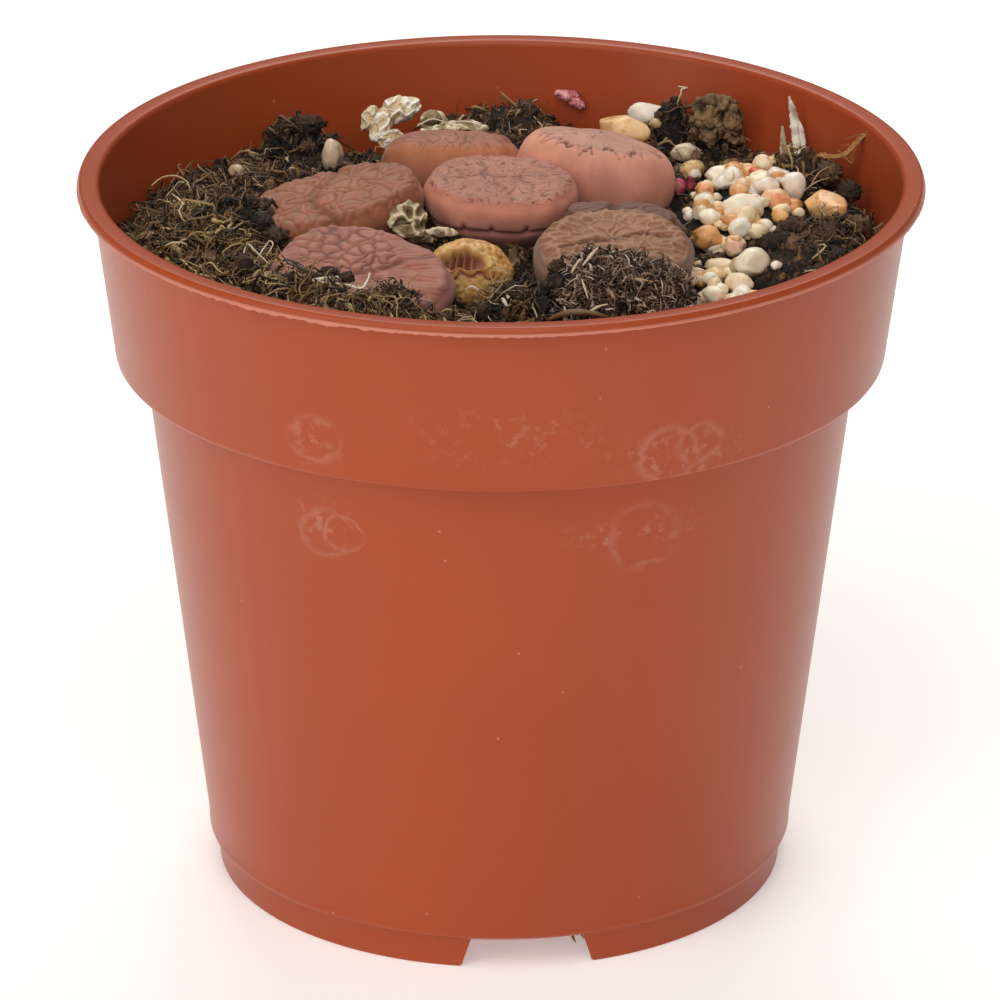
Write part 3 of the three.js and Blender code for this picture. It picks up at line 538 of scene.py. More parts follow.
def folds(x, y, length, seed, heading=0.0, spread=math.pi, count=26):
    """Worm-like folds: plane waves of about one length in millimetres, crossing at random."""
    draw = np.random.default_rng(seed)
    total = np.zeros_like(x)
    for _ in range(count):
        turn = heading + draw.uniform(-spread / 2, spread / 2)
        k = 2 * math.pi / length * draw.uniform(0.86, 1.16)
        total += np.cos(k * (x * math.cos(turn) + y * math.sin(turn)) + draw.uniform(0, 2 * math.pi))
    return total / math.sqrt(count / 2)


def bent_places(x, y, amount, length, seed):
    """Places on a face moved about by soft waves, so that what is drawn there isn't straight."""
    aside = amount * folds(x, y, length, seed, count=9)
    return x + aside, y + amount * folds(x, y, length, seed + 1, count=9)


def seams(x, y, spacing, seed, reach=12.0, evenness=0.35):
    """How far each place is inside its own cobble: 0 on the seam between two, about 0.5 inside."""
    draw = np.random.default_rng(seed)
    grid = np.arange(-reach, reach, spacing)
    cx, cy = np.meshgrid(grid, grid)
    cx = cx + (np.arange(len(grid)) % 2 * spacing / 2)[:, None]
    centres = np.stack([cx.ravel(), cy.ravel()], -1)
    centres = centres + draw.uniform(-evenness, evenness, centres.shape) * spacing
    places = np.stack([x.ravel(), y.ravel()], -1)
    near = np.full((len(places), 2), 1e9)
    for centre in centres:
        far = np.hypot(*(places - centre).T)
        second = far < near[:, 1]
        near[second, 1] = far[second]
        near.sort(axis=1)
    return ((near[:, 1] - near[:, 0]) / spacing).reshape(x.shape)


def near_line(x, y, path, width):
    """1 along a drawn line on the face, fading to 0 within its width."""
    path = smooth_through(path, 8)
    best = np.full(x.shape, 1e9)
    for a, b in zip(path, path[1:]):
        d = b - a
        t = np.clip(((x - a[0]) * d[0] + (y - a[1]) * d[1]) / max(d @ d, 1e-9), 0, 1)
        best = np.minimum(best, np.hypot(x - a[0] - t * d[0], y - a[1] - t * d[1]))
    return np.exp(-((best / width) ** 2))


def lines_of(wave, thin, wide):
    """Thin furrows where a wave field crosses zero."""
    return 1 - ease(np.abs(wave), thin, wide)


# The relief of each face: x and y in millimetres from its middle, u how far out the skin is (about
# 1 at the rim, more on the flank). It gives the height, the furrows and the warm windows, 0 to 1.
def mazed_face(x, y, u):
    """Fine broken furrows, like a maze, within a smooth rim; a forked groove in the middle."""
    within = 1 - ease(u, 0.9, 1.02)
    bent_x, bent_y = bent_places(x, y, 0.3, 3.2, 15)
    wave = folds(bent_x, bent_y, 0.95, 11, count=34)
    furrow = lines_of(wave, 0.08, 0.5) * ease(folds(x, y, 1.7, 13), -1.0, -0.1) * within
    trunk = [(-5.4, -1.6), (-3.6, -0.9), (-2.2, 0.1), (-0.4, -0.6), (1.4, -0.2), (3.6, -1.4)]
    fork = near_line(x, y, trunk, 0.3)
    for branch in ([(-2.2, 0.1), (-1.9, 1.6), (-2.6, 3.0)], [(1.4, -0.2), (2.6, 1.1), (4.3, 1.4)],
                   [(-0.4, -0.6), (-0.2, -2.0), (1.2, -3.1)], [(-3.6, -0.9), (-4.6, 0.6)]):
        fork = np.maximum(fork, 0.85 * near_line(x, y, branch, 0.24))
    fork = fork * within * (0.75 + 0.25 * wave / 1.5)
    height = 0.02 * wave * within + 0.03 * folds(x, y, 2.6, 17) * within - 0.075 * furrow - 0.16 * fork
    return height, np.maximum(furrow, fork), 0.5 * within * ease(folds(x, y, 3.2, 14), 0.2, 1.2)


def brain_face(x, y, u):
    """Soft cells like the folds of a brain over all of the face, with a deep crease across it."""
    within = 1 - ease(u, 0.96, 1.12)
    bent_x, bent_y = bent_places(x, y, 0.4, 3.0, 25)
    cell = seams(bent_x, bent_y, 1.5, 21, reach=14.0)
    furrow = (1 - ease(cell, 0.0, 0.2)) * ease(folds(x, y, 3.4, 23), -1.3, 0.1)
    fine = lines_of(folds(bent_x, bent_y, 1.5, 22), 0.05, 0.5) * 0.4
    across = [(1.6, 7.0), (1.0, 3.6), (-1.0, 1.0), (-2.0, -1.7), (-1.2, -3.8), (-0.1, -7.0)]
    crease = near_line(x, y, across, 0.55)
    height = 0.25 * np.sqrt(np.clip(cell / 0.5, 0, 1)) + 0.06 * folds(x, y, 3.6, 27) - 0.03 * fine
    height = height * within - 0.36 * crease * (1 - ease(u, 1.1, 1.4))
    warm = ease(folds(x, y, 1.9, 24), -0.6, 0.9) * (0.3 + 0.7 * furrow)
    warm = warm * np.exp(-(((x + 0.6) / 6.5) ** 2 + ((y + 2.4) / 3.6) ** 2)) * 0.8
    return height, np.maximum(0.75 * furrow + fine * 0.5, 0.6 * crease) * within, np.clip(warm, 0, 1)


def cobbled_face(x, y, u):
    """Round cobbles at the back left, running out into fine wavy furrows towards the right."""
    within = 1 - ease(u, 0.88, 1.0)
    bent_x, bent_y = bent_places(x, y, 0.2, 2.6, 35)
    cobble = seams(bent_x, bent_y, 1.45, 31)
    far = np.hypot((x + 2.9) / 5.6, (y - 1.7) / 4.2) + 0.12 * folds(x, y, 2.5, 37)
    is_cobbled = 1 - ease(far, 0.8, 1.15)
    fan = math.radians(90 + 22)
    wave = folds(x + 0.2 * y, y, 1.15, 32, heading=fan, spread=math.radians(34))
    broad = folds(x, y, 2.3, 34, heading=fan, spread=math.radians(60))
    furrow = lines_of(wave, 0.08, 0.75) * ease(folds(x, y, 3.0, 33), -1.3, 0.0)
    domes = np.sqrt(np.clip(cobble / 0.55, 0, 1))
    fold_line = near_line(x, y, [(-0.8, -2.2), (1.2, -0.2), (3.8, 3.6), (5.4, 5.2)], 0.3) * within
    height = is_cobbled * (0.38 * domes - 0.16) + (1 - is_cobbled) * (0.05 * broad - 0.07 * furrow)
    height = height * within - 0.16 * fold_line
    dark = is_cobbled * (1 - ease(cobble, 0.0, 0.24)) * 0.9 + (1 - is_cobbled) * 0.6 * furrow
    warm = 0.3 * near_line(x, y, [(4.4, 2.6), (6.4, 1.4)], 0.8) * within
    warm = np.maximum(warm, 0.45 * (1 - is_cobbled) * furrow * ease(x, -1.0, 4.0) * within)
    return height, np.maximum(dark, 0.7 * fold_line) * within, warm


def pitted_rim(x, y, u):
    """Short ticks and small pits along the rim, with a smooth flank."""
    angle = np.arctan2(y / 5.6, x / 7.3)
    at_rim = np.exp(-(((u - 0.82) / 0.1) ** 2))
    ticks = lines_of(folds(angle * 6.5, u * 2.2, 1.5, 41, heading=0.0, spread=1.4), 0.05, 0.5)
    ticks = ticks * at_rim * ease(folds(x, y, 1.8, 44), -0.9, 0.2)
    middle = (1 - ease(u, 0.7, 0.9)) * lines_of(folds(x, y, 1.8, 43), 0.05, 0.5)
    furrow = np.maximum(0.75 * ticks, 0.7 * middle)
    return -0.13 * furrow + 0.06 * folds(x, y, 2.4, 42) * (1 - ease(u, 1.0, 1.2)), furrow, 0 * x


def crimped_rim(x, y, u):
    """A crimped line winds along the shoulder like a seam; the tall flank below it is smooth."""
    angle = np.arctan2(y / 5.6, x / 8.4)
    round_rim, level = angle * 7.0, 0 * angle
    seam_u = 0.74 + 0.045 * folds(round_rim, level, 1.5, 54) + 0.035 * folds(round_rim, level, 0.7, 55)
    seam = np.exp(-(((u - seam_u) / 0.026) ** 2)) * ease(folds(x, y, 2.4, 56), -1.2, -0.1)
    within = 1 - ease(u, 0.7, 0.8)
    furrow = lines_of(folds(x, y, 1.3, 51), 0.05, 0.4) * ease(folds(x, y, 2.4, 53), -0.4, 0.5) * within
    height = 0.03 * folds(x, y, 2.6, 52) * within - 0.07 * furrow - 0.26 * seam
    return height, np.maximum(0.55 * furrow, seam), 0 * x


def windowed_face(x, y, u):
    """Pale raised ridges round small sunken windows, longer near the rim; a fissure across."""
    angle = np.arctan2(y / 6.9, x / 8.15)
    outer = ease(u, 0.5, 0.66)
    bent_x, bent_y = bent_places(x, y, 0.25, 2.8, 65)
    inner_cells = seams(bent_x, bent_y, 1.5, 61)
    outer_cells = seams(angle * 8.2 + 0.2 * bent_x, u * 5.6, 1.4, 62, reach=30.0, evenness=0.3)
    cell = inner_cells * (1 - outer) + outer_cells * outer
    within = 1 - ease(u, 0.88, 0.97)
    window = ease(cell, 0.12, 0.36) * within
    across = [(-5.2, -0.6), (-2.6, 0.3), (-0.4, 0.4), (1.4, 1.1), (3.6, 1.4), (5.6, 1.0)]
    fissure = near_line(x, y, across, 0.26) * within
    wave = folds(x, y, 1.3, 63)
    height = (0.08 - 0.16 * window + 0.03 * wave * within + 0.08 * folds(x, y, 3.2, 67) * within
              - 0.22 * fissure)
    tone = 0.35 + 0.65 * ease(folds(x, y, 2.2, 64), -0.6, 1.0)
    return height, 0.85 * fissure, window * tone


def lobed_face(x, y, u):
    """Soft folds and a notch between its two lobes."""
    within = 1 - ease(u, 0.9, 1.05)
    wave = folds(x, y, 1.9, 71)
    furrow = lines_of(wave, 0.04, 0.5) * within
    notch = near_line(x, y, [(-0.8, 5.0), (-1.1, 2.6), (-1.0, 0.0), (-0.6, -4.0)], 0.45)
    height = 0.1 * np.tanh(np.abs(wave)) * within - 0.06 * furrow - 0.5 * notch
    return height, np.maximum(0.8 * furrow, 0.8 * notch), 0 * x


# Each body's relief and its skin's colours: the face, furrows, the band just under the rim, the
# flank, the low part near the soil, and warm spots. Then how much its rim is rounded off, in
# millimetres, where a fold and small creases mark its flank, its outline, and where its band starts.
SKIN_TERMS = ("relief", "face", "furrow", "band", "flank", "low", "warm", "rounded", "fold", "puckers",
              "meridian", "band_from")
RIM_BAND = (0.84, 0.98)
SKINS = {
    "head_centre": (mazed_face, "#b07866", "#663e39", "#d08873", "#c5877a", "#7b4841", "#c07c64",
                    0.12, 3.55, (240, 262, 289), MERIDIAN, RIM_BAND),
    "head_left": (brain_face, "#9c6951", "#6e3d2b", "#9e6348", "#8e5941", "#5a382c", "#c05a3c",
                  0.2, 4.6, (), MERIDIAN, RIM_BAND),
    "head_front_left": (cobbled_face, "#a76f60", "#6a3f3f", "#99645a", "#93635e", "#5f3d43", "#c0604e",
                        0.2, 4.8, (), MERIDIAN, RIM_BAND),
    "head_back": (pitted_rim, "#a56b58", "#633730", "#b3704f", "#a3664f", "#5d3830", "#b06a50",
                  0.0, 5.8, (), ROUND_MERIDIAN, (0.72, 0.86)),
    "head_back_right": (crimped_rim, "#c3907e", "#57302b", "#da9a84", "#cf8b79", "#7a4d43", "#c98370",
                        0.0, 7.6, (), ROUND_MERIDIAN, (0.7, 0.78)),
    "head_front_right": (windowed_face, "#a2775e", "#5e3d33", "#8a6959", "#7d5c4e", "#56433e", "#87553c",
                         0.2, 4.8, (), MERIDIAN, RIM_BAND),
    # This body's colours are darkened all over: painted shade, for it sits in the shade of the bodies round
    # it.
    "head_right": (lobed_face, "#754d3f", "#482c24", "#734b3d", "#664135", "#3e2922", "#754b3b",
                   0.2, 4.8, (), MERIDIAN, RIM_BAND),
}
SKINS = {name: dict(zip(SKIN_TERMS, values)) for name, values in SKINS.items()}


def meridian_samples(half, meridian):
    """Points of the skin's outline: fine on the face and flank, coarse under the soil."""
    fine = smooth_through([(share * half, drop) for share, drop in meridian], 40)
    run = np.concatenate([[0], np.cumsum(np.hypot(*np.diff(fine, axis=0).T))])
    deep_from = run[np.argmax(fine[:, 1] > DEEP_START)]
    marks = np.concatenate([np.arange(SKIN_STEP, deep_from, SKIN_STEP),
                            np.arange(deep_from, run[-1] - 0.4, DEEP_STEP)])
    out = np.interp(marks, run, fine[:, 0]) / half
    drop = np.interp(marks, run, fine[:, 1])
    return out, drop, marks / half


def skin_faces(rings, sides):
    """The faces of rings of points between two poles, from the first pole to the last."""
    faces, last = [], 1 + rings * sides
    for side in range(sides):
        after = (side + 1) % sides
        faces.append((0, 1 + side, 1 + after))
        for near in range(1, last - sides, sides):
            far = near + sides
            faces.append((near + side, far + side, far + after, near + after))
        faces.append((last - sides + side, last, last - sides + after))
    return faces


def with_poles(rows):
    """The values of all rings in one row, with the poles' own at both ends."""
    return np.concatenate([[rows[0].mean()], np.ravel(rows), [rows[-1].mean()]])


def living_stone(name, body, skin):
    """The closed skin of one body, with its relief, and what its material reads."""
    long_half, short_half = body["half"]
    share, drop, u = meridian_samples((long_half + short_half) / 2, skin["meridian"])
    angle = np.arange(BODY_SIDES) * 2 * math.pi / BODY_SIDES
    full = (np.abs(np.cos(angle)) ** FULLNESS + np.abs(np.sin(angle)) ** FULLNESS) ** (-1 / FULLNESS)
    depth = np.maximum(drop, 0) * body["stem"]
    fade = np.exp(-depth / LEAN_FADE)
    lean = math.radians(body["tilt"]) * fade
    towards = math.radians(body["towards"])
    up = np.stack([np.sin(lean) * math.cos(towards), np.sin(lean) * math.sin(towards), np.cos(lean)], -1)
    turn = math.radians(body["turn"])
    long_way = np.array([math.cos(turn), math.sin(turn), 0.0]) * np.ones_like(up)
    long_way -= up * np.sum(long_way * up, axis=1, keepdims=True)
    long_way /= np.linalg.norm(long_way, axis=1, keepdims=True)
    short_way = np.cross(up, long_way)
    aside = math.sin(math.radians(body["tilt"])) * LEAN_FADE * (1 - fade)
    middle = np.array(body["at"]) + np.stack(
        [-aside * math.cos(towards), -aside * math.sin(towards), -depth], -1)
    middle += up * np.maximum(-drop, 0)[:, None]

    flat_x = long_half * full * np.cos(angle)
    flat_y = short_half * full * np.sin(angle)
    skin_at = (middle[:, None, :]
               + long_way[:, None, :] * (share[:, None] * flat_x)[..., None]
               + short_way[:, None, :] * (share[:, None] * flat_y)[..., None])
    x, y = u[:, None] * flat_x, u[:, None] * flat_y
    u_all = u[:, None] * np.ones_like(x)
    relief, furrow, warm = skin["relief"](x, y, u_all)
    drops = drop[:, None] * np.ones_like(x)
    relief = relief + 0.06 * folds(x, y, 5.5, 5 + len(name)) * (1 - ease(u_all, 1.6, 1.9))
    relief = relief - skin["rounded"] * np.exp(-(((u_all - ROUNDED_AT) / ROUNDED_REACH) ** 2))
    fold_at = skin["fold"] + 0.12 * folds(x, y, 6.0, 9)
    fold = np.exp(-(((drops - fold_at) / FOLD_REACH) ** 2))
    relief = relief - FOLD_DEPTH * fold
    furrow = np.maximum(furrow, 0.75 * fold)
    for place in skin["puckers"]:
        off = np.angle(np.exp(1j * (angle + turn - math.radians(place)))) * (long_half + short_half) / 2
        high = ease(drop, 2.2, 3.3) * (1 - ease(drop, 3.4, 3.8))
        crease = np.exp(-((off / PUCKER_REACH) ** 2)) * high[:, None]
        relief = relief - PUCKER_DEPTH * crease
        furrow = np.maximum(furrow, 0.9 * crease)

    around = np.roll(skin_at, -1, axis=1) - np.roll(skin_at, 1, axis=1)
    downwards = np.gradient(skin_at, axis=0)
    outwards = np.cross(downwards, around)
    outwards /= np.maximum(np.linalg.norm(outwards, axis=2, keepdims=True), 1e-9)
    skin_at = skin_at + outwards * relief[..., None]

    crown = skin_at[0].mean(axis=0)
    tip = middle[-1] - np.array([0, 0, 0.5])
    points = np.vstack([crown, skin_at.reshape(-1, 3), tip])
    made = add_mesh(f"living_stone_{name.removeprefix('head_')}", points, skin_faces(len(share), BODY_SIDES))
    shares = {"band": ease(u_all, *skin["band_from"]), "flank": ease(drops, 0.9, 3.2),
              "low": ease(drops, skin["fold"] - 0.3, skin["fold"] + 1.4), "furrow": furrow, "warm": warm}
    for label, values in shares.items():
        write_values(made, label, with_poles(values))
    return made


def leaf_skin(name, skin):
    """Thick waxy leaf skin over watery flesh: matt, with a faint bloom, furrows darker."""
    made, tree, shader = new_material(
        f"leaf_skin_{name.removeprefix('head_')}", skin["face"], Roughness=0.56, IOR=1.4,
        Specular_IOR_Level=0.36, Subsurface_Weight=0.12, Subsurface_Radius=(1.0, 0.35, 0.2),
        Subsurface_Scale=0.0012, Sheen_Weight=0.12, Sheen_Roughness=0.5)
    place = add_node(tree, "ShaderNodeTexCoord").outputs["Object"]
    mottle = add_node(tree, "ShaderNodeTexNoise", {
        "Vector": place, "Scale": 420.0, "Detail": 4.0, "Roughness": 0.6})
    blotch = add_node(tree, "ShaderNodeTexNoise", {"Vector": place, "Scale": 130.0, "Detail": 2.0})
    tint = colour(skin["face"])
    for label, strength in (("band", 1.0), ("flank", 1.0), ("warm", 0.85), ("low", 0.95), ("furrow", 0.85)):
        read = add_node(tree, "ShaderNodeAttribute", attribute_name=label)
        share = add_node(tree, "ShaderNodeMath", {0: read.outputs["Fac"], 1: strength}, operation="MULTIPLY")
        mixed = add_node(tree, "ShaderNodeMix", {
            "Factor": share, "A": tint, "B": colour(skin[label])}, data_type="RGBA")
        tint = mixed.outputs["Result"]
    spread = add_node(tree, "ShaderNodeMapRange", {
        "Value": mottle.outputs["Fac"], "From Min": 0.3, "From Max": 0.7, "To Min": 0.88,
        "To Max": 1.12})
    cloud = add_node(tree, "ShaderNodeMapRange", {
        "Value": blotch.outputs["Fac"], "From Min": 0.3, "From Max": 0.7, "To Min": 0.92,
        "To Max": 1.08})
    both = add_node(tree, "ShaderNodeMath", {0: spread, 1: cloud}, operation="MULTIPLY")
    shaded = add_node(tree, "ShaderNodeVectorMath", {0: tint, "Scale": both}, operation="SCALE")
    tree.links.new(shaded.outputs[0], shader.inputs["Base Color"])
    pores = add_node(tree, "ShaderNodeTexNoise", {"Vector": place, "Scale": 3200.0, "Detail": 2.0})
    bump = add_node(tree, "ShaderNodeBump", {
        "Height": pores.outputs["Fac"], "Distance": 0.00004, "Strength": 0.6})
    tree.links.new(bump.outputs["Normal"], shader.inputs["Normal"])
    return made


for name, body in BODIES.items():
    plant = living_stone(name, body, SKINS[name])
    plant.data.materials.append(leaf_skin(name, SKINS[name]))
    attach(plant, "root")
    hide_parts(name)

# Peat soil
# Damp peat compost, pressed in by hand and crumbled: it fills the pot to about 8 mm under the rim,
# is heaped into clods between the bodies, and dips under each body's stem.
SOIL_LEVEL = 66.6
SOIL_EDGE = inside_radius(SOIL_LEVEL - 0.6) - 0.35
SOIL_EDGE_DIP = 0.6
SOIL_EDGE_WIDTH = 4.0
SOIL_CELLS = 296
HEAPS = [
    # x, y, half length, half width, turn, rise, steepness
    (10.9, -22.2, 6.0, 5.4, 4, 6.1, 0.32),
    (14.9, -22.8, 3.2, 5.0, 0, 5.7, 0.4),
    (-15.0, -30.6, 13.5, 6.0, -24, 5.4, 0.8),
    (-19.5, -26.6, 6.0, 3.4, -14, 6.9, 0.6),
    (-10.5, -29.2, 3.6, 2.8, 0, 6.0, 0.6),
    (-28.8, -6.4, 8.8, 12.0, 8, 4.3, 0.7),
    (-26.4, -1.4, 4.8, 5.8, 10, 5.2, 0.6),
    (-25.2, -17.5, 5.0, 5.0, 0, 4.4, 0.8),
    (-21.2, 27.4, 3.6, 3.0, 10, 2.7, 0.35),
    (2.0, 33.6, 7.6, 3.8, 0, 2.2, 0.7),
    (17.9, 30.6, 2.2, 2.0, 0, 4.2, 0.5),
    (31.0, -8.5, 7.0, 7.8, -12, 3.4, 0.8),
    (33.6, -0.6, 3.4, 3.8, 0, 2.6, 0.6),
    (31.8, 18.6, 4.6, 4.8, 0, 3.2, 0.7),
    (1.2, -26.6, 4.0, 3.0, 0, 5.2, 0.5),
    (25.5, 9.5, 6.8, 10.0, -10, 2.0, 0.8),
    (-5.0, -31.0, 5.0, 4.0, 10, 3.4, 0.7),
    (0.0, 27.0, 7.0, 4.0, 0, 1.6, 1.0),
]
HOLLOWS = [
    # x, y, half length, half width, depth
    (-14.0, 33.5, 9.5, 7.5, 3.6),
    (10.5, 34.0, 7.5, 6.5, 2.6),
]
STEM_DIP = 3.5
CLOD_RELIEF = 1.3
CRUMB_RELIEF = 0.7
GRAIN_RELIEF = 0.7
SWELL_RELIEF = 0.9
SHELF_GAP = 0.35
GROUND_LEAN = 3.0
# Noise vectors start from offsets that are drawn anew in each run, unless this seed is set
NOISE_SEED = 4
noise.seed_set(NOISE_SEED)


def rolling(x, y, z, phase):
    """Slow waves that keep the ground from being level."""
    return (np.sin(1.7 * x + 0.9 * y + phase) + np.sin(1.1 * y - 1.5 * z + 2.1 * phase)
            + np.sin(1.3 * z + 1.9 * x - 0.7 * phase)) / 3


def own_axes(dx, dy, long_half, short_half, turn):
    """A place in an ellipse's own half sizes, from how far it is from the ellipse's middle."""
    a = math.radians(turn)
    along = (dx * math.cos(a) + dy * math.sin(a)) / long_half
    return along, (dy * math.cos(a) - dx * math.sin(a)) / short_half


def across_body(x, y, body, share):
    """How far out from a body's middle a place on the ground is: 1 at its outline."""
    towards = math.radians(body["towards"])
    aside = math.sin(math.radians(body["tilt"])) * GROUND_LEAN
    dx = x - body["at"][0] + aside * math.cos(towards)
    dy = y - body["at"][1] + aside * math.sin(towards)
    return np.hypot(*own_axes(dx, dy, body["half"][0] * share, body["half"][1] * share, body["turn"]))


def heaped(x, y):
    """The ground with its heaps, before it is crumbled."""
    z = SOIL_LEVEL + 0.3 * rolling(0.9 * x, 0.9 * y, 0.4 * x, 1.3)
    for body in BODIES.values():
        z = z - STEM_DIP * (1 - ease(across_body(x, y, body, 0.95), 0.5, 0.95))
    for hx, hy, long_half, short_half, turn, rise, steep in HEAPS:
        along, side = own_axes(x - hx, y - hy, long_half, short_half, turn)
        inside = np.maximum(0, 1 - along**2 - side**2)
        heap = SOIL_LEVEL + rise * inside**steep - 0.01
        z = np.where(inside > 0, np.maximum(z, heap * (inside > 0)), z)
    wall = ease(np.hypot(x, y), SOIL_EDGE - SOIL_EDGE_WIDTH, SOIL_EDGE)
    z = z * (1 - wall) + np.maximum(SOIL_LEVEL - SOIL_EDGE_DIP, z - 2.2) * wall
    for hx, hy, half_x, half_y, depth in HOLLOWS:
        z = z - depth * (1 - ease(np.hypot((x - hx) / half_x, (y - hy) / half_y), 0.45, 1.0))
    return z


def crumbled(x, y):
    """The height that crumbs of three sizes add to the ground at each place."""
    out = np.empty(len(x))
    for i, (px, py) in enumerate(zip(x, y)):
        at = Vector((px, py, 0.0))
        bent = at + noise.noise_vector(at * 0.9) * 0.7
        large = noise.voronoi(bent * 0.5)[0]
        middle = noise.voronoi((bent + Vector((31, 7, 0))) * 1.1)[0]
        out[i] = (CLOD_RELIEF * (0.5 - large[0]) + CRUMB_RELIEF * (0.5 - middle[0])
                  + GRAIN_RELIEF * noise.fractal(at * 1.7, 0.5, 2.2, 4)
                  + SWELL_RELIEF * noise.noise(at * 0.3))
    return out


def disc_grid(cells):
    """A square grid pressed into a disc, so that its cells stay alike: x and y, one row a line."""
    a, b = np.meshgrid(np.linspace(-1, 1, cells + 1), np.linspace(-1, 1, cells + 1))
    wide = np.abs(a) > np.abs(b)
    reach = np.where(wide, a, b)
    other = np.where(wide, b, a)
    turn = math.pi / 4 * np.divide(other, reach, out=np.zeros_like(a), where=np.abs(reach) > 1e-9)
    turn = np.where(wide, turn, math.pi / 2 - turn)
    return reach * np.cos(turn), reach * np.sin(turn)


grid_x, grid_y = disc_grid(SOIL_CELLS)
ground_x, ground_y = grid_x.ravel() * SOIL_EDGE, grid_y.ravel() * SOIL_EDGE
ground_z = heaped(ground_x, ground_y)
near_wall = ease(np.hypot(ground_x, ground_y), SOIL_EDGE - 0.8, SOIL_EDGE)
ground_z += crumbled(ground_x, ground_y) * (1 - 0.8 * near_wall)
row = SOIL_CELLS + 1
ground_faces = [(i * row + j, i * row + j + 1, (i + 1) * row + j + 1, (i + 1) * row + j)
                for i in range(SOIL_CELLS) for j in range(SOIL_CELLS)]
ground_points = [np.stack([ground_x, ground_y, ground_z], -1)]
rim_loop = (list(range(SOIL_CELLS)) + [i * row + SOIL_CELLS for i in range(SOIL_CELLS)]
            + [SOIL_CELLS * row + j for j in range(SOIL_CELLS, 0, -1)]
            + [i * row for i in range(SOIL_CELLS, 0, -1)])
rim_angle = np.arctan2(ground_y[rim_loop], ground_x[rim_loop])
upper = rim_loop
count = len(ground_x)
for radius, z in ((inside_radius(shelf + SHELF_GAP) - SHELF_GAP, shelf + SHELF_GAP),
                  (inside_radius(STEP_HEIGHT) - 0.8, shelf + SHELF_GAP),
                  (inside_radius(FLOOR_TOP + SHELF_GAP) - SHELF_GAP, FLOOR_TOP + SHELF_GAP)):
    ground_points.append(np.stack([radius * np.cos(rim_angle), radius * np.sin(rim_angle),
                                   np.full(len(rim_angle), z)], -1))
    lower = [count + i for i in range(len(rim_loop))]
    ground_faces += [(lower[i], lower[(i + 1) % len(lower)], upper[(i + 1) % len(lower)], upper[i])
                     for i in range(len(lower))]
    upper = lower
    count += len(lower)
ground_points.append([(0, 0, FLOOR_TOP + SHELF_GAP)])
ground_faces += [(count, upper[(i + 1) % len(upper)], upper[i]) for i in range(len(upper))]
peat = add_mesh("peat_soil_fine", np.vstack(ground_points), ground_faces)

# Peat: broken-down moss, dark brown to black, matt where it is dry and faintly glossy where damp
PEAT_BLACK = "#1d1612"
PEAT_BROWN = "#503a2c"
PEAT_TAN = "#7c5f45"


def peat_material(name, stops, roughness=0.8):
    """Peat whose tone varies from crumb to crumb, by the piece's own tone and by fine noise."""
    made, tree, shader = new_material(name, PEAT_BROWN, Roughness=roughness, IOR=1.4)
    place = add_node(tree, "ShaderNodeTexCoord").outputs["Object"]
    tone = add_node(tree, "ShaderNodeAttribute", attribute_name="tone")
    fine = add_node(tree, "ShaderNodeTexNoise", {
        "Vector": place, "Scale": 2200.0, "Detail": 4.0, "Roughness": 0.75})
    fine = add_node(tree, "ShaderNodeMapRange", {
        "Value": fine.outputs["Fac"], "From Min": 0.34, "From Max": 0.7})
    wide = add_node(tree, "ShaderNodeTexNoise", {"Vector": place, "Scale": 260.0, "Detail": 3.0})
    wide = add_node(tree, "ShaderNodeMapRange", {
        "Value": wide.outputs["Fac"], "From Min": 0.35, "From Max": 0.65})
    mixed = add_node(tree, "ShaderNodeMix", {"Factor": 0.4, "A": fine, "B": wide}, data_type="FLOAT")
    share = add_node(tree, "ShaderNodeMix", {
        "Factor": 0.4, "A": mixed.outputs["Result"], "B": tone.outputs["Fac"]}, data_type="FLOAT")
    ramp = add_node(tree, "ShaderNodeValToRGB", {"Fac": share.outputs["Result"]}, stops)
    tree.links.new(ramp.outputs["Color"], shader.inputs["Base Color"])
    return made


peat_ground = peat_material("damp_peat", [
    (0.0, "#0d0a08"), (0.3, PEAT_BLACK), (0.5, PEAT_BROWN), (0.7, PEAT_TAN)])
peat.data.materials.append(peat_ground)
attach(peat, "root")
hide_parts("peat_soil")

# Peat crumbs and fibres
# Loose crumbs of peat and the curled moss and root fibres that make it up, lying on the ground:
# golden-brown mats on the left mound and along the front, and a tight purple-brown felt of threads
# on the clod that leans on the front right body.


def shares_on_ground(areas):
    """A 0 to 1 share for each point of the ground, from ellipses: x, y, half sizes, turn, share."""
    total = np.zeros(len(ground_x))
    for ax, ay, long_half, short_half, turn, share in areas:
        far = np.hypot(*own_axes(ground_x - ax, ground_y - ay, long_half, short_half, turn))
        total = np.maximum(total, share * (1 - ease(far, 0.75, 1.05)))
    return total


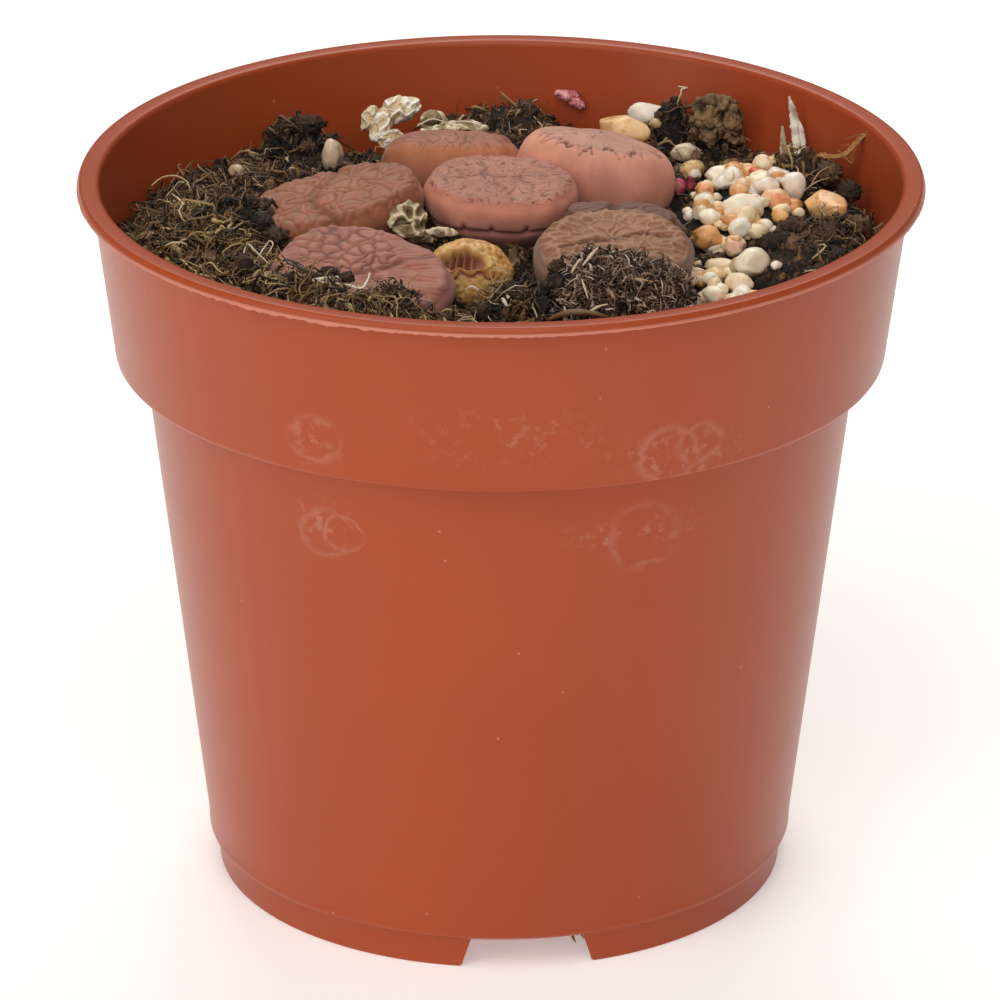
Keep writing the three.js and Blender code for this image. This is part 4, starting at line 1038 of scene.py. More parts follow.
free = np.ones(len(ground_x))
for body in BODIES.values():
    inner = ease(across_body(ground_x, ground_y, body, 0.95), 0.72, 0.85)
    free = np.minimum(free, inner)
on_heap = shares_on_ground([(10.9, -22.2, 6.3, 5.6, 4, 1.0)])
free = np.maximum(free, on_heap)
tufts = np.array([noise.noise(Vector((x * 0.42, y * 0.42, 4.0))) + 0.6 * noise.noise(Vector((x, y, 9.0)))
                  for x, y in zip(ground_x, ground_y)])
tufted = 0.2 + 0.8 * ease(tufts, -0.3, 0.2)
under_grit = shares_on_ground([(25.0, 7.5, 8.5, 12.5, -8, 1.0), (23.5, -13.5, 6.5, 8.5, 0, 1.0),
                               (33.0, 6.0, 3.6, 3.6, 0, 1.0)])
open_ground = free * (1 - 0.9 * under_grit)
GROUND_SHARES = {
    "crumbs": free * (1 - 0.8 * under_grit),
    "lumps": open_ground * (1 - 0.85 * on_heap),
    "golden": tufted * free * np.maximum(0.0, shares_on_ground([
        (-31.0, -9.0, 7.0, 13.0, 10, 1.0), (-17.0, -29.5, 13.0, 6.0, -24, 1.0),
        (-26.0, -18.0, 6.5, 6.0, 0, 1.0), (-4.0, -30.5, 9.0, 5.5, 5, 0.6), (-33.0, 6.0, 5.0, 6.0, 0, 0.6)])
        - shares_on_ground([(-26.2, -1.6, 4.6, 5.8, 10, 0.8)])),
    "black": tufted * open_ground * np.maximum(0.12, shares_on_ground([
        (-26.0, -1.6, 5.4, 6.6, 10, 1.0), (-10.0, -29.0, 5.0, 4.0, 0, 0.7), (1.0, -26.5, 5.0, 4.0, 0, 0.8),
        (-21.0, 27.6, 5.0, 4.5, 0, 0.7), (34.0, -1.0, 4.0, 6.0, 0, 0.5), (20.0, -22.0, 4.0, 5.0, 0, 0.4)])),
    "felt": np.maximum(on_heap, shares_on_ground([(15.0, -23.2, 3.4, 5.0, 0, 0.85)])),
    "shreds": open_ground * np.maximum(0.45, shares_on_ground([
        (-17.0, -29.5, 13.0, 6.5, -24, 1.0), (-30.0, -8.0, 9.0, 13.0, 10, 0.9),
        (0.0, -30.0, 9.0, 6.0, 0, 1.0), (10.0, -30.0, 9.0, 3.5, 0, 1.0), (-26.0, 14.0, 10.0, 9.0, 0, 1.0),
        (33.0, -2.0, 5.0, 7.0, 0, 1.0), (31.0, 18.0, 6.0, 6.0, 0, 0.9)])),
    "sparse": tufted * open_ground * (0.2 + shares_on_ground([
        (34.0, -1.0, 4.0, 6.0, 0, 0.8), (31.0, 18.0, 6.0, 6.0, 0, 0.8), (-21.0, 28.0, 6.0, 5.0, 0, 0.6),
        (1.0, -27.0, 6.0, 4.5, 0, 0.8), (-27.0, 14.0, 9.0, 9.0, 0, 0.9), (3.0, 33.0, 10.0, 5.0, 0, 0.5)])),
}
ground_top = add_mesh("ground_top", ground_points[0], ground_faces[: SOIL_CELLS**2])
for label, values in GROUND_SHARES.items():
    write_values(ground_top, label, values)


def node_tree(name, sockets):
    """A geometry tree with a mesh going in and out, and named inputs; its group input is returned."""
    tree = bpy.data.node_groups.new(name, "GeometryNodeTree")
    tree.interface.new_socket(name="Ground", in_out="INPUT", socket_type="NodeSocketGeometry")
    for label, kind in sockets.items():
        tree.interface.new_socket(name=label, in_out="INPUT", socket_type=f"NodeSocket{kind}")
    tree.interface.new_socket(name="Made", in_out="OUTPUT", socket_type="NodeSocketGeometry")
    return tree, tree.nodes.new("NodeGroupInput").outputs


def scattered(tree, given):
    """Points spread over the ground: density times the share that the named attribute gives."""
    where = add_node(tree, "GeometryNodeInputNamedAttribute", {"Name": given["Where"]}, data_type="FLOAT")
    density = add_node(tree, "ShaderNodeMath", {
        0: where.outputs["Attribute"], 1: given["Density"]}, operation="MULTIPLY")
    return add_node(tree, "GeometryNodeDistributePointsOnFaces", {
        "Mesh": given["Ground"], "Density": density, "Seed": given["Seed"]})


def drawn(tree, seed, low, high, kind="FLOAT"):
    """A random value for each point or instance; low and high may be sockets."""
    value = add_node(tree, "FunctionNodeRandomValue", data_type=kind)
    first = 0 if kind == "FLOAT_VECTOR" else 2
    for count, limit in enumerate((low, high)):
        if isinstance(limit, bpy.types.NodeSocket):
            tree.links.new(limit, value.inputs[first + count])
        else:
            value.inputs[first + count].default_value = limit
    value.inputs["Seed"].default_value = seed
    return value.outputs[0 if kind == "FLOAT_VECTOR" else 1]


def finish_tree(tree, made, material, is_smooth=True):
    """Ends a tree: instances made real, smooth or faceted shading, and the material set."""
    real = add_node(tree, "GeometryNodeRealizeInstances", {"Geometry": made})
    smooth = add_node(tree, "GeometryNodeSetShadeSmooth", {"Geometry": real, "Shade Smooth": is_smooth})
    dressed = add_node(tree, "GeometryNodeSetMaterial", {"Geometry": smooth, "Material": material})
    out = tree.nodes.new("NodeGroupOutput")
    tree.links.new(dressed.outputs[0], out.inputs[0])


def grown(name, tree, values):
    """Runs a tree on the ground's top with these inputs and keeps the result as a plain mesh."""
    made = bpy.data.objects.new(name, ground_top.data.copy())
    scene.collection.objects.link(made)
    modifier = made.modifiers.new("grown", "NODES")
    modifier.node_group = tree
    for item in tree.interface.items_tree:
        if item.in_out == "INPUT" and item.name in values:
            modifier[item.identifier] = values[item.name]
    bake(made)
    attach(made, "root")
    return made


CRUMB_INPUTS = {"Where": "String", "Density": "Float", "Seed": "Int", "Smallest": "Float",
                "Largest": "Float", "Narrowest": "Vector", "Widest": "Vector", "Lumpiness": "Float",
                "Lump Scale": "Float", "Detail": "Int", "Material": "Material"}
FULL_TURN = 6.28
MOSTLY_SMALL = 2.6
tree, given = node_tree("peat_crumbs", CRUMB_INPUTS)
spots = scattered(tree, given)
globe = add_node(tree, "GeometryNodeMeshIcoSphere", {"Radius": 0.5, "Subdivisions": given["Detail"]})
chance = drawn(tree, 1, 0.0, 1.0)
chance = add_node(tree, "ShaderNodeMath", {0: chance, 1: MOSTLY_SMALL}, operation="POWER").outputs[0]
size = add_node(tree, "ShaderNodeMix", {
    "Factor": chance, "A": given["Smallest"], "B": given["Largest"]}, data_type="FLOAT")
stretch = drawn(tree, 2, given["Narrowest"], given["Widest"], "FLOAT_VECTOR")
scale = add_node(tree, "ShaderNodeVectorMath", {
    0: stretch, "Scale": size.outputs["Result"]}, operation="SCALE")
spin = drawn(tree, 3, (0.0, 0.0, 0.0), (FULL_TURN, FULL_TURN, FULL_TURN), "FLOAT_VECTOR")
crumbs = add_node(tree, "GeometryNodeInstanceOnPoints", {
    "Points": spots.outputs["Points"], "Instance": globe.outputs["Mesh"], "Rotation": spin,
    "Scale": scale})
toned = add_node(tree, "GeometryNodeStoreNamedAttribute", {
    "Geometry": crumbs, "Name": "tone", "Value": drawn(tree, 4, 0.0, 1.0)},
    data_type="FLOAT", domain="INSTANCE")
real = add_node(tree, "GeometryNodeRealizeInstances", {"Geometry": toned})
here = add_node(tree, "GeometryNodeInputPosition")
rough = add_node(tree, "ShaderNodeTexNoise", {
    "Vector": here, "Scale": given["Lump Scale"], "Detail": 3.0})
push = add_node(tree, "ShaderNodeVectorMath", {
    0: rough.outputs["Color"], 1: (0.5, 0.5, 0.5)}, operation="SUBTRACT")
push = add_node(tree, "ShaderNodeVectorMath", {0: push, "Scale": given["Lumpiness"]}, operation="SCALE")
lumpy = add_node(tree, "GeometryNodeSetPosition", {"Geometry": real, "Offset": push})
finish_tree(tree, lumpy.outputs[0], given["Material"], is_smooth=False)

crumb_peat = peat_material("crumbled_peat", [
    (0.1, "#140e0b"), (0.33, "#33241b"), (0.52, "#583f2e"), (0.72, "#805f46"), (0.9, "#b3946c")])
shred_peat = peat_material("shredded_bark_and_moss", [
    (0.0, "#241a12"), (0.3, "#4f3925"), (0.55, "#7d5f3e"), (0.8, "#a88a5e"), (1.0, "#d6bf92")])
straw_peat = peat_material("broken_straw", [
    (0.15, "#6b5233"), (0.4, "#a68a5e"), (0.6, "#cdb68a"), (0.8, "#e6d8b6")])
# Least and greatest stretch of the bits along their three axes
ROUND = (0.5, 0.5, 0.4), (1.4, 1.1, 0.9)
SHREDDED = (0.7, 0.14, 0.1), (2.0, 0.42, 0.26)
FLAT = (0.7, 0.3, 0.12), (1.6, 0.8, 0.3)
CRUMBS = [
    # name, slot, then the tree's inputs in their order: where, density, seed, smallest and largest
    # size in metres, stretch, depth and scale of its lumps, how finely it is cut, material
    ("peat_crumbs_coarse", "peat", "lumps", 2.1e5, 3, 0.0008, 0.0025, *ROUND, 0.0011, 1100.0, 2, crumb_peat),
    ("peat_crumbs_fine", "peat", "crumbs", 1.08e6, 8, 0.0003, 0.0011, *ROUND, 0.0006, 1400.0, 1, crumb_peat),
    ("peat_shreds", "peat", "shreds", 1.0e6, 12, 0.0008, 0.0021, *SHREDDED, 0.0008, 700.0, 1, shred_peat),
    ("straw_bits", "root_fibre", "golden", 2.2e5, 21, 0.0006, 0.0019, *FLAT, 0.0007, 900.0, 2, straw_peat),
]
for name, slot, *values in CRUMBS:
    grown(name, tree, dict(zip(CRUMB_INPUTS, values)))

FIBRE_INPUTS = {"Where": "String", "Density": "Float", "Seed": "Int", "Shortest": "Float",
                "Longest": "Float", "Thickness": "Float", "Bend": "Float", "Curl": "Float",
                "Curl Scale": "Float", "Lift": "Float", "Raised": "Float", "Points": "Int",
                "Material": "Material"}
HALF_TURN = 3.14
MOSTLY_SHORT = 1.8
MOSTLY_THIN = 3.0
THINNEST, THICKEST = 0.6, 2.6
TIP_GIRTH = 0.4
tree, given = node_tree("peat_fibres", FIBRE_INPUTS)
spots = scattered(tree, given)
line = add_node(tree, "GeometryNodeCurvePrimitiveLine", {"Start": (-0.5, 0, 0), "End": (0.5, 0, 0)})
line = add_node(tree, "GeometryNodeResampleCurve", {"Curve": line, "Count": given["Points"]})
low_tip = add_node(tree, "ShaderNodeMath", {0: given["Lift"], 1: -1.0}, operation="MULTIPLY")
tip_low = add_node(tree, "ShaderNodeCombineXYZ", {"X": low_tip, "Y": low_tip, "Z": -HALF_TURN})
tip_high = add_node(tree, "ShaderNodeCombineXYZ", {"X": given["Lift"], "Y": given["Lift"], "Z": HALF_TURN})
own_turn = add_node(tree, "FunctionNodeEulerToRotation", {
    "Euler": drawn(tree, 11, tip_low.outputs[0], tip_high.outputs[0], "FLOAT_VECTOR")})
laid = add_node(tree, "FunctionNodeRotateRotation", {
    "Rotation": spots.outputs["Rotation"], "Rotate By": own_turn}, rotation_space="LOCAL")
length = add_node(tree, "ShaderNodeMath", {0: drawn(tree, 12, 0.0, 1.0), 1: MOSTLY_SHORT}, operation="POWER")
length = add_node(tree, "ShaderNodeMix", {
    "Factor": length, "A": given["Shortest"], "B": given["Longest"]}, data_type="FLOAT")
raised = add_node(tree, "ShaderNodeVectorMath", {
    0: spots.outputs["Normal"], "Scale": drawn(tree, 16, 0.0, given["Raised"])}, operation="SCALE")
raised_spots = add_node(tree, "GeometryNodeSetPosition", {
    "Geometry": spots.outputs["Points"], "Offset": raised})
fibres = add_node(tree, "GeometryNodeInstanceOnPoints", {
    "Points": raised_spots, "Instance": line, "Rotation": laid, "Scale": length.outputs["Result"]})
girth = add_node(tree, "ShaderNodeMath", {0: drawn(tree, 15, 0.0, 1.0), 1: MOSTLY_THIN}, operation="POWER")
girth = add_node(tree, "ShaderNodeMapRange", {"Value": girth, "To Min": THINNEST, "To Max": THICKEST})
bow = add_node(tree, "ShaderNodeMath", {
    0: length.outputs["Result"], 1: given["Bend"]}, operation="MULTIPLY")
bow = add_node(tree, "ShaderNodeVectorMath", {
    0: drawn(tree, 17, (-1.0, -1.0, -1.0), (1.0, 1.0, 1.0), "FLOAT_VECTOR"), "Scale": bow},
    operation="SCALE")
own_noise = drawn(tree, 14, (-0.05, -0.05, -0.05), (0.05, 0.05, 0.05), "FLOAT_VECTOR")
for label, value, kind in (("tone", drawn(tree, 13, 0.0, 1.0), "FLOAT"), ("girth", girth, "FLOAT"),
                           ("own", own_noise, "FLOAT_VECTOR"), ("bow", bow, "FLOAT_VECTOR")):
    fibres = add_node(tree, "GeometryNodeStoreNamedAttribute", {
        "Geometry": fibres, "Name": label, "Value": value}, data_type=kind, domain="INSTANCE")
real = add_node(tree, "GeometryNodeRealizeInstances", {"Geometry": fibres})
along = add_node(tree, "GeometryNodeSplineParameter")
arch = add_node(tree, "ShaderNodeMath", {0: along.outputs["Factor"], 1: math.pi}, operation="MULTIPLY")
arch = add_node(tree, "ShaderNodeMath", {0: arch}, operation="SINE")
bow = add_node(tree, "GeometryNodeInputNamedAttribute", {"Name": "bow"}, data_type="FLOAT_VECTOR")
bow = add_node(tree, "ShaderNodeVectorMath", {
    0: bow.outputs["Attribute"], "Scale": arch}, operation="SCALE")
bowed = add_node(tree, "GeometryNodeSetPosition", {"Geometry": real, "Offset": bow})
here = add_node(tree, "GeometryNodeInputPosition")
own = add_node(tree, "GeometryNodeInputNamedAttribute", {"Name": "own"}, data_type="FLOAT_VECTOR")
noise_place = add_node(tree, "ShaderNodeVectorMath", {
    0: here, 1: own.outputs["Attribute"]}, operation="ADD")
bend = add_node(tree, "ShaderNodeTexNoise", {
    "Vector": noise_place, "Scale": given["Curl Scale"], "Detail": 1.0})
push = add_node(tree, "ShaderNodeVectorMath", {
    0: bend.outputs["Color"], 1: (0.5, 0.5, 0.5)}, operation="SUBTRACT")
push = add_node(tree, "ShaderNodeVectorMath", {0: push, "Scale": given["Curl"]}, operation="SCALE")
curled = add_node(tree, "GeometryNodeSetPosition", {"Geometry": bowed, "Offset": push})
# What would cross the wall is pressed back against it
here = add_node(tree, "GeometryNodeInputPosition")
flat = add_node(tree, "ShaderNodeVectorMath", {0: here, 1: (1.0, 1.0, 0.0)}, operation="MULTIPLY")
away = add_node(tree, "ShaderNodeVectorMath", {0: flat}, operation="LENGTH")
share = add_node(tree, "ShaderNodeMath", {0: SOIL_EDGE / 1000, 1: away.outputs["Value"]}, operation="DIVIDE")
share = add_node(tree, "ShaderNodeMath", {0: share, 1: 1.0}, operation="MINIMUM")
limit = add_node(tree, "ShaderNodeCombineXYZ", {"X": share, "Y": share, "Z": 1.0})
pressed = add_node(tree, "ShaderNodeVectorMath", {0: here, 1: limit}, operation="MULTIPLY")
curled = add_node(tree, "GeometryNodeSetPosition", {"Geometry": curled, "Position": pressed})
taper = add_node(tree, "ShaderNodeMapRange", {"Value": arch, "To Min": TIP_GIRTH, "To Max": 1.0})
girth = add_node(tree, "GeometryNodeInputNamedAttribute", {"Name": "girth"}, data_type="FLOAT")
taper = add_node(tree, "ShaderNodeMath", {0: taper, 1: girth.outputs["Attribute"]}, operation="MULTIPLY")
ring = add_node(tree, "GeometryNodeCurvePrimitiveCircle", {
    "Resolution": 3, "Radius": given["Thickness"]})
tubes = add_node(tree, "GeometryNodeCurveToMesh", {
    "Curve": curled, "Profile Curve": ring, "Scale": taper, "Fill Caps": True})
finish_tree(tree, tubes.outputs[0], given["Material"])


def fibre_material(name, stops, roughness=0.6):
    """Dry plant fibre: dull, each one its own tone from nearly black to straw."""
    made, tree, shader = new_material(name, "#5a4632", Roughness=roughness, IOR=1.45)
    tone = add_node(tree, "ShaderNodeAttribute", attribute_name="tone")
    ramp = add_node(tree, "ShaderNodeValToRGB", {"Fac": tone.outputs["Fac"]}, stops)
    tree.links.new(ramp.outputs["Color"], shader.inputs["Base Color"])
    return made


golden_fibre = fibre_material("moss_fibre_golden", [
    (0.0, "#1a130d"), (0.28, "#443320"), (0.55, "#765c3a"), (0.82, "#a38452"), (1.0, "#dcc596")])
purple_fibre = fibre_material("root_fibre_purple", [
    (0.0, "#1b1411"), (0.3, "#4a372d"), (0.62, "#826655"), (0.86, "#b0957f"), (1.0, "#e4d5c2")])
mixed_fibre = fibre_material("moss_fibre_mixed", [
    (0.0, "#1a130e"), (0.3, "#463425"), (0.65, "#7d6144"), (0.88, "#ad9068"), (1.0, "#e0cfad")])
black_fibre = fibre_material("rotted_fibre_black", [
    (0.0, "#100d0b"), (0.5, "#282018"), (0.85, "#453627"), (1.0, "#6e5840")])
FIBRES = [
    # name, then the tree's inputs in their order: where, density, seed, shortest, longest and
    # thickness in metres, bend, curl, its scale, lift, height over the ground, points, material
    ("moss_fibres_golden", "golden", 3.3e6, 5, 0.0012, 0.0056, 0.0001,
     0.35, 0.003, 420.0, 0.45, 0.0011, 7, golden_fibre),
    ("root_fibres_felt", "felt", 1.5e7, 6, 0.0006, 0.002, 0.00008,
     0.5, 0.0011, 800.0, 1.2, 0.0012, 5, purple_fibre),
    ("moss_fibres_loose", "sparse", 1.4e6, 7, 0.0009, 0.004, 0.00009,
     0.45, 0.0024, 500.0, 0.6, 0.0006, 6, mixed_fibre),
    ("rotted_fibres_black", "black", 2.6e6, 9, 0.0008, 0.0024, 0.00012,
     0.55, 0.0018, 600.0, 0.9, 0.0007, 5, black_fibre),
]
for name, *values in FIBRES:
    grown(name, tree, dict(zip(FIBRE_INPUTS, values)))
bpy.data.objects.remove(ground_top)


def cord(path, widths, sides=6, flat=1.0, steps=8, rough=0.0, seed=0.0, across=(0.31, 0.2, 0.93)):
    """A closed cord along a smooth path, all in millimetres; flat below 1 makes it a ribbon."""
    line = smooth_through(path, steps)
    count = len(line)
    girth = np.interp(np.linspace(0, 1, count), np.linspace(0, 1, len(widths)), widths) / 2
    girth = girth * [1 + rough * noise.noise(Vector((i * 0.35, seed, 0))) for i in range(count)]
    ways = np.gradient(line, axis=0)
    ways /= np.linalg.norm(ways, axis=1, keepdims=True)
    side = np.cross(ways, across)
    side /= np.linalg.norm(side, axis=1, keepdims=True)
    other = np.cross(ways, side) * flat
    turn = np.arange(sides) * 2 * math.pi / sides
    rings = line[:, None] + girth[:, None, None] * (np.cos(turn)[None, :, None] * side[:, None]
                                                    + np.sin(turn)[None, :, None] * other[:, None])
    points = np.vstack([line[:1], rings.reshape(-1, 3), line[-1:]])
    faces, last, end = [], len(points) - 1, 1 + (count - 1) * sides
    for i in range(sides):
        j = (i + 1) % sides
        faces += [(0, 1 + j, 1 + i), (last, end + i, end + j)]
        faces += [(k + i, k + j, k + sides + j, k + sides + i) for k in range(1, end, sides)]
    return points, faces


def joined(name, parts, label, values):
    """One piece of several closed parts, with one value each for the named attribute."""
    faces, first = [], 0
    for points, part_faces in parts:
        faces += [tuple(first + i for i in face) for face in part_faces]
        first += len(points)
    made = add_mesh(name, np.vstack([points for points, _ in parts]), faces)
    flat = np.concatenate([np.full(len(part[0]), value) if np.isscalar(value) else value
                           for part, value in zip(parts, values)])
    write_values(made, label, flat)
    return made


# Bleached rootlets and bits of straw that lie on top, and last two root tips that hang out under a
# drain hole at the front: tone, width, path
THREADS = [
    (0.8, 0.2, [(-35.6, 9.6, 69.5), (-34.6, 10.6, 70.0), (-33.2, 10.9, 70.1), (-32.0, 9.8, 69.9),
        (-31.6, 8.4, 69.5)]),
    (0.55, 0.18, [(-33.5, 9.3, 69.5), (-33.1, 7.4, 69.9), (-32.5, 5.8, 69.8)]),
    (0.95, 0.2, [(-33.3, 4.9, 70.4), (-32.3, 1.8, 70.8), (-31.4, -1.1, 70.6), (-30.7, -2.5, 70.4)]),
    (0.6, 0.2, [(-31.1, -2.7, 70.2), (-31.2, -6.4, 70.4), (-31.3, -9.6, 70.2), (-31.7, -12.5, 69.8)]),
    (0.7, 0.18, [(-30.7, -2.5, 70.4), (-28.7, -3.3, 70.6), (-26.6, -4.1, 70.4), (-26.3, -5.6, 70.3),
        (-26.5, -7.2, 70.1)]),
    (0.5, 0.16, [(-33.8, -1.0, 69.6), (-32.8, -3.8, 70.2), (-31.9, -5.2, 70.0)]),
    (1.0, 0.16, [(-25.5, -18.0, 71.0), (-25.4, -15.2, 71.4), (-25.2, -12.5, 71.6), (-24.9, -12.6, 71.6),
        (-24.0, -15.6, 71.9), (-22.7, -19.0, 72.0)]),
    (0.95, 0.14, [(-24.4, -17.2, 71.2), (-23.3, -14.3, 72.0), (-22.8, -13.9, 72.5), (-22.5, -14.3, 72.2),
        (-23.1, -15.7, 71.6)]),
    (0.8, 0.18, [(-24.8, -13.0, 71.5), (-24.2, -15.0, 71.7), (-22.9, -17.4, 71.5)]),
    (1.0, 0.26, [(-20.3, -25.9, 73.1), (-18.6, -27.0, 73.4), (-16.4, -27.5, 73.3), (-14.8, -27.7, 73.2),
        (-13.5, -28.8, 73.3), (-12.9, -28.0, 73.8), (-12.7, -26.9, 74.1)]),
    (1.0, 0.34, [(-19.0, -26.9, 73.3), (-17.4, -27.0, 73.6), (-16.0, -26.7, 73.6), (-14.8, -26.8, 73.6)]),
    (0.75, 0.16, [(-14.8, -27.7, 73.1), (-14.4, -29.4, 72.8), (-13.0, -30.2, 72.4)]),
    (0.7, 0.14, [(-16.6, -29.0, 72.8), (-14.6, -29.2, 72.8), (-13.2, -29.8, 72.5)]),
    (0.85, 0.3, [(-21.8, -25.6, 72.6), (-20.6, -26.1, 72.9), (-19.6, -26.3, 72.8)]),
    (0.9, 0.3, [(8.0, -28.6, 70.4), (9.4, -28.6, 71.3), (10.4, -28.8, 71.7)]),
    (0.5, 0.7, [(4.6, -28.4, 69.9), (6.5, -29.1, 70.9), (8.6, -29.3, 71.0), (10.4, -29.1, 70.5)]),
    (0.85, 0.34, [(6.2, -28.8, 69.6), (6.3, -28.6, 70.6), (6.2, -28.4, 71.3)]),
    (0.9, 0.3, [(8.0, -24.4, 74.0), (8.9, -23.6, 74.9), (9.5, -22.9, 75.3)]),
    (0.85, 0.26, [(6.9, -24.6, 73.3), (7.5, -23.6, 74.0), (8.0, -23.0, 74.2)]),
    (0.9, 0.2, [(7.9, -26.0, 73.2), (8.2, -26.9, 72.6), (8.5, -27.6, 71.8)]),
    (1.0, 0.2, [(-3.5, -19.2, 69.4), (-2.8, -19.3, 69.8), (-2.0, -19.5, 69.4)]),
    (1.0, 0.55, [(0.1, -27.6, 71.8), (0.6, -27.9, 71.4), (0.7, -28.2, 70.7)]),
    (0.9, 0.4, [(0.6, -27.4, 72.1), (0.9, -27.8, 71.7), (1.0, -28.2, 71.1)]),
    (0.8, 0.2, [(12.6, -24.8, 73.0), (13.8, -25.6, 73.0), (14.9, -25.4, 72.6), (15.3, -26.2, 71.8)]),
    (1.0, 0.14, [(-8.6, 25.2, 70.4), (-7.2, 25.6, 71.0), (-5.8, 25.0, 70.9)]),
    (1.0, 0.14, [(-6.2, 24.8, 70.8), (-3.6, 24.4, 71.2), (-1.4, 23.6, 70.8)]),
    (0.7, 0.12, [(31.5, 9.5, 69.6), (32.6, 11.8, 70.4), (34.2, 13.2, 70.6)]),
    (0.75, 0.12, [(30.6, 8.2, 69.4), (32.0, 8.6, 70.4), (33.6, 10.2, 70.4)]),
    (0.8, 0.14, [(29.8, 10.8, 69.4), (30.4, 12.4, 70.2), (30.2, 14.0, 70.2)]),
    (0.6, 0.3, [(7.3, -26.6, 3.6), (7.4, -27.3, 2.8), (7.7, -27.8, 2.3)]),
    (0.75, 0.25, [(8.1, -26.3, 3.6), (8.2, -27.0, 3.0), (8.6, -27.5, 2.5)]),
]
straw = fibre_material("bleached_rootlet", [
    (0.4, "#5d4227"), (0.6, "#8a6a44"), (0.8, "#bf9f72"), (1.0, "#eadfca")], 0.5)
THREAD_WIDTHS = np.array([0.7, 1.3, 1.2, 0.6])
threads = [cord(path, width * THREAD_WIDTHS, 6, 0.75, 5, 0.4, count)
           for count, (_, width, path) in enumerate(THREADS)]
threads = joined("bleached_rootlets", threads, "tone", [tone for tone, _, _ in THREADS])
threads.data.materials.append(straw)
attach(threads, "root")


def ball(subdivisions):
    """Points and faces of a ball one across."""
    made = bmesh.new()
    bmesh.ops.create_icosphere(made, subdivisions=subdivisions, radius=0.5)
    points = np.array([v.co for v in made.verts])
    faces = [tuple(v.index for v in face.verts) for face in made.faces]
    made.free()
    return points, faces


def spun(points, degrees):
    """Points turned about the upright axis."""
    a = math.radians(degrees)
    return points @ np.array([[math.cos(a), math.sin(a), 0], [-math.sin(a), math.cos(a), 0], [0, 0, 1]])


def lump(x, y, z, long, wide, thick, turn, seed, rough):
    """A broken lump of peat: a ball with a cracked, knobbly skin."""
    points, faces = ball(4)
    for i, p in enumerate(points):
        at = Vector(p * (long, wide, thick)) * 1.1 + Vector((seed, 0, 0))
        near = noise.voronoi(at)[0]
        crack = 1 - min(1.0, (near[1] - near[0]) / 0.25)
        size = 0.95 - 0.4 * rough * crack + 0.5 * rough * noise.noise(at * 2.2)
        points[i] *= size + 0.3 * noise.fractal(at * 4, 0.6, 2.2, 3)
    return spun(points * (long, wide, thick), turn) + (x, y, z), faces


# Single lumps: four on the front left body, peat that juts out round the clods and at the right
LUMPS = [
    # x, y, z, length, width, thickness, turn, tone, roughness
    (-19.9, -25.0, 73.2, 1.5, 1.2, 1.4, 20, 0.35, 0.6),
    (-16.7, -25.2, 73.5, 2.2, 1.5, 1.3, 5, 0.0, 0.15),
    (-14.9, -26.9, 73.7, 1.6, 1.3, 1.1, -20, 0.05, 0.3),
    (-18.2, -26.0, 73.0, 1.6, 1.4, 1.2, 40, 0.2, 0.5),
    (-20.4, 27.2, 69.7, 4.4, 3.0, 2.4, 10, 0.25, 0.5),
    (-22.8, 26.6, 69.0, 2.6, 2.4, 2.2, 0, 0.1, 0.5),
    (-20.2, 24.9, 68.2, 2.0, 1.2, 1.2, 30, 0.85, 0.4),
    (5.4, -22.6, 71.2, 2.6, 3.2, 2.6, 0, 0.15, 0.5),
    (5.6, -21.2, 72.4, 2.0, 2.4, 1.9, 30, 0.25, 0.6),
    (8.8, -20.0, 73.0, 2.6, 2.2, 1.8, 10, 0.3, 0.6),
    (12.4, -19.6, 72.9, 2.8, 2.0, 1.8, -20, 0.2, 0.6),
    (15.4, -21.2, 72.0, 2.4, 2.4, 1.8, 0, 0.1, 0.6),
    (35.4, -0.6, 69.0, 3.0, 3.4, 2.8, 0, 0.5, 0.5),
    (33.0, -3.4, 69.2, 3.8, 3.0, 2.6, 20, 0.35, 0.5),
    (29.4, -1.6, 69.2, 3.6, 3.0, 2.6, -10, 0.4, 0.5),
    (27.0, -5.0, 68.9, 3.0, 2.8, 2.2, 30, 0.15, 0.5),
    (30.4, -8.2, 69.4, 3.4, 3.0, 2.2, 0, 0.05, 0.4),
    (33.6, 13.6, 69.6, 2.8, 3.0, 2.6, 0, 0.5, 0.5),
    (35.6, 10.4, 68.8, 2.4, 2.8, 2.4, 40, 0.3, 0.5),
    (1.4, -26.6, 71.6, 3.0, 2.2, 2.0, 10, 0.1, 0.5),
    (4.0, -27.0, 70.6, 2.0, 2.0, 2.2, 30, 0.05, 0.5),
    (-1.4, -27.6, 70.4, 2.4, 2.0, 1.8, 0, 0.25, 0.5),
    (-25.6, -0.6, 71.4, 3.2, 2.8, 1.8, 0, 0.1, 0.6),
    (-28.0, -3.4, 70.8, 2.8, 2.6, 1.8, 40, 0.15, 0.6),
    (-23.8, -4.4, 70.6, 2.8, 2.6, 1.8, 70, 0.1, 0.6),
    (-22.4, -7.2, 70.4, 2.8, 2.4, 1.8, 20, 0.15, 0.6),
]
lumps = [lump(*place, 7 * count, rough) for count, (*place, _, rough) in enumerate(LUMPS)]
lumps = joined("peat_lumps", lumps, "tone", [tone for *_, tone, _ in LUMPS])
lumps.data.materials.append(crumb_peat)
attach(lumps, "root")


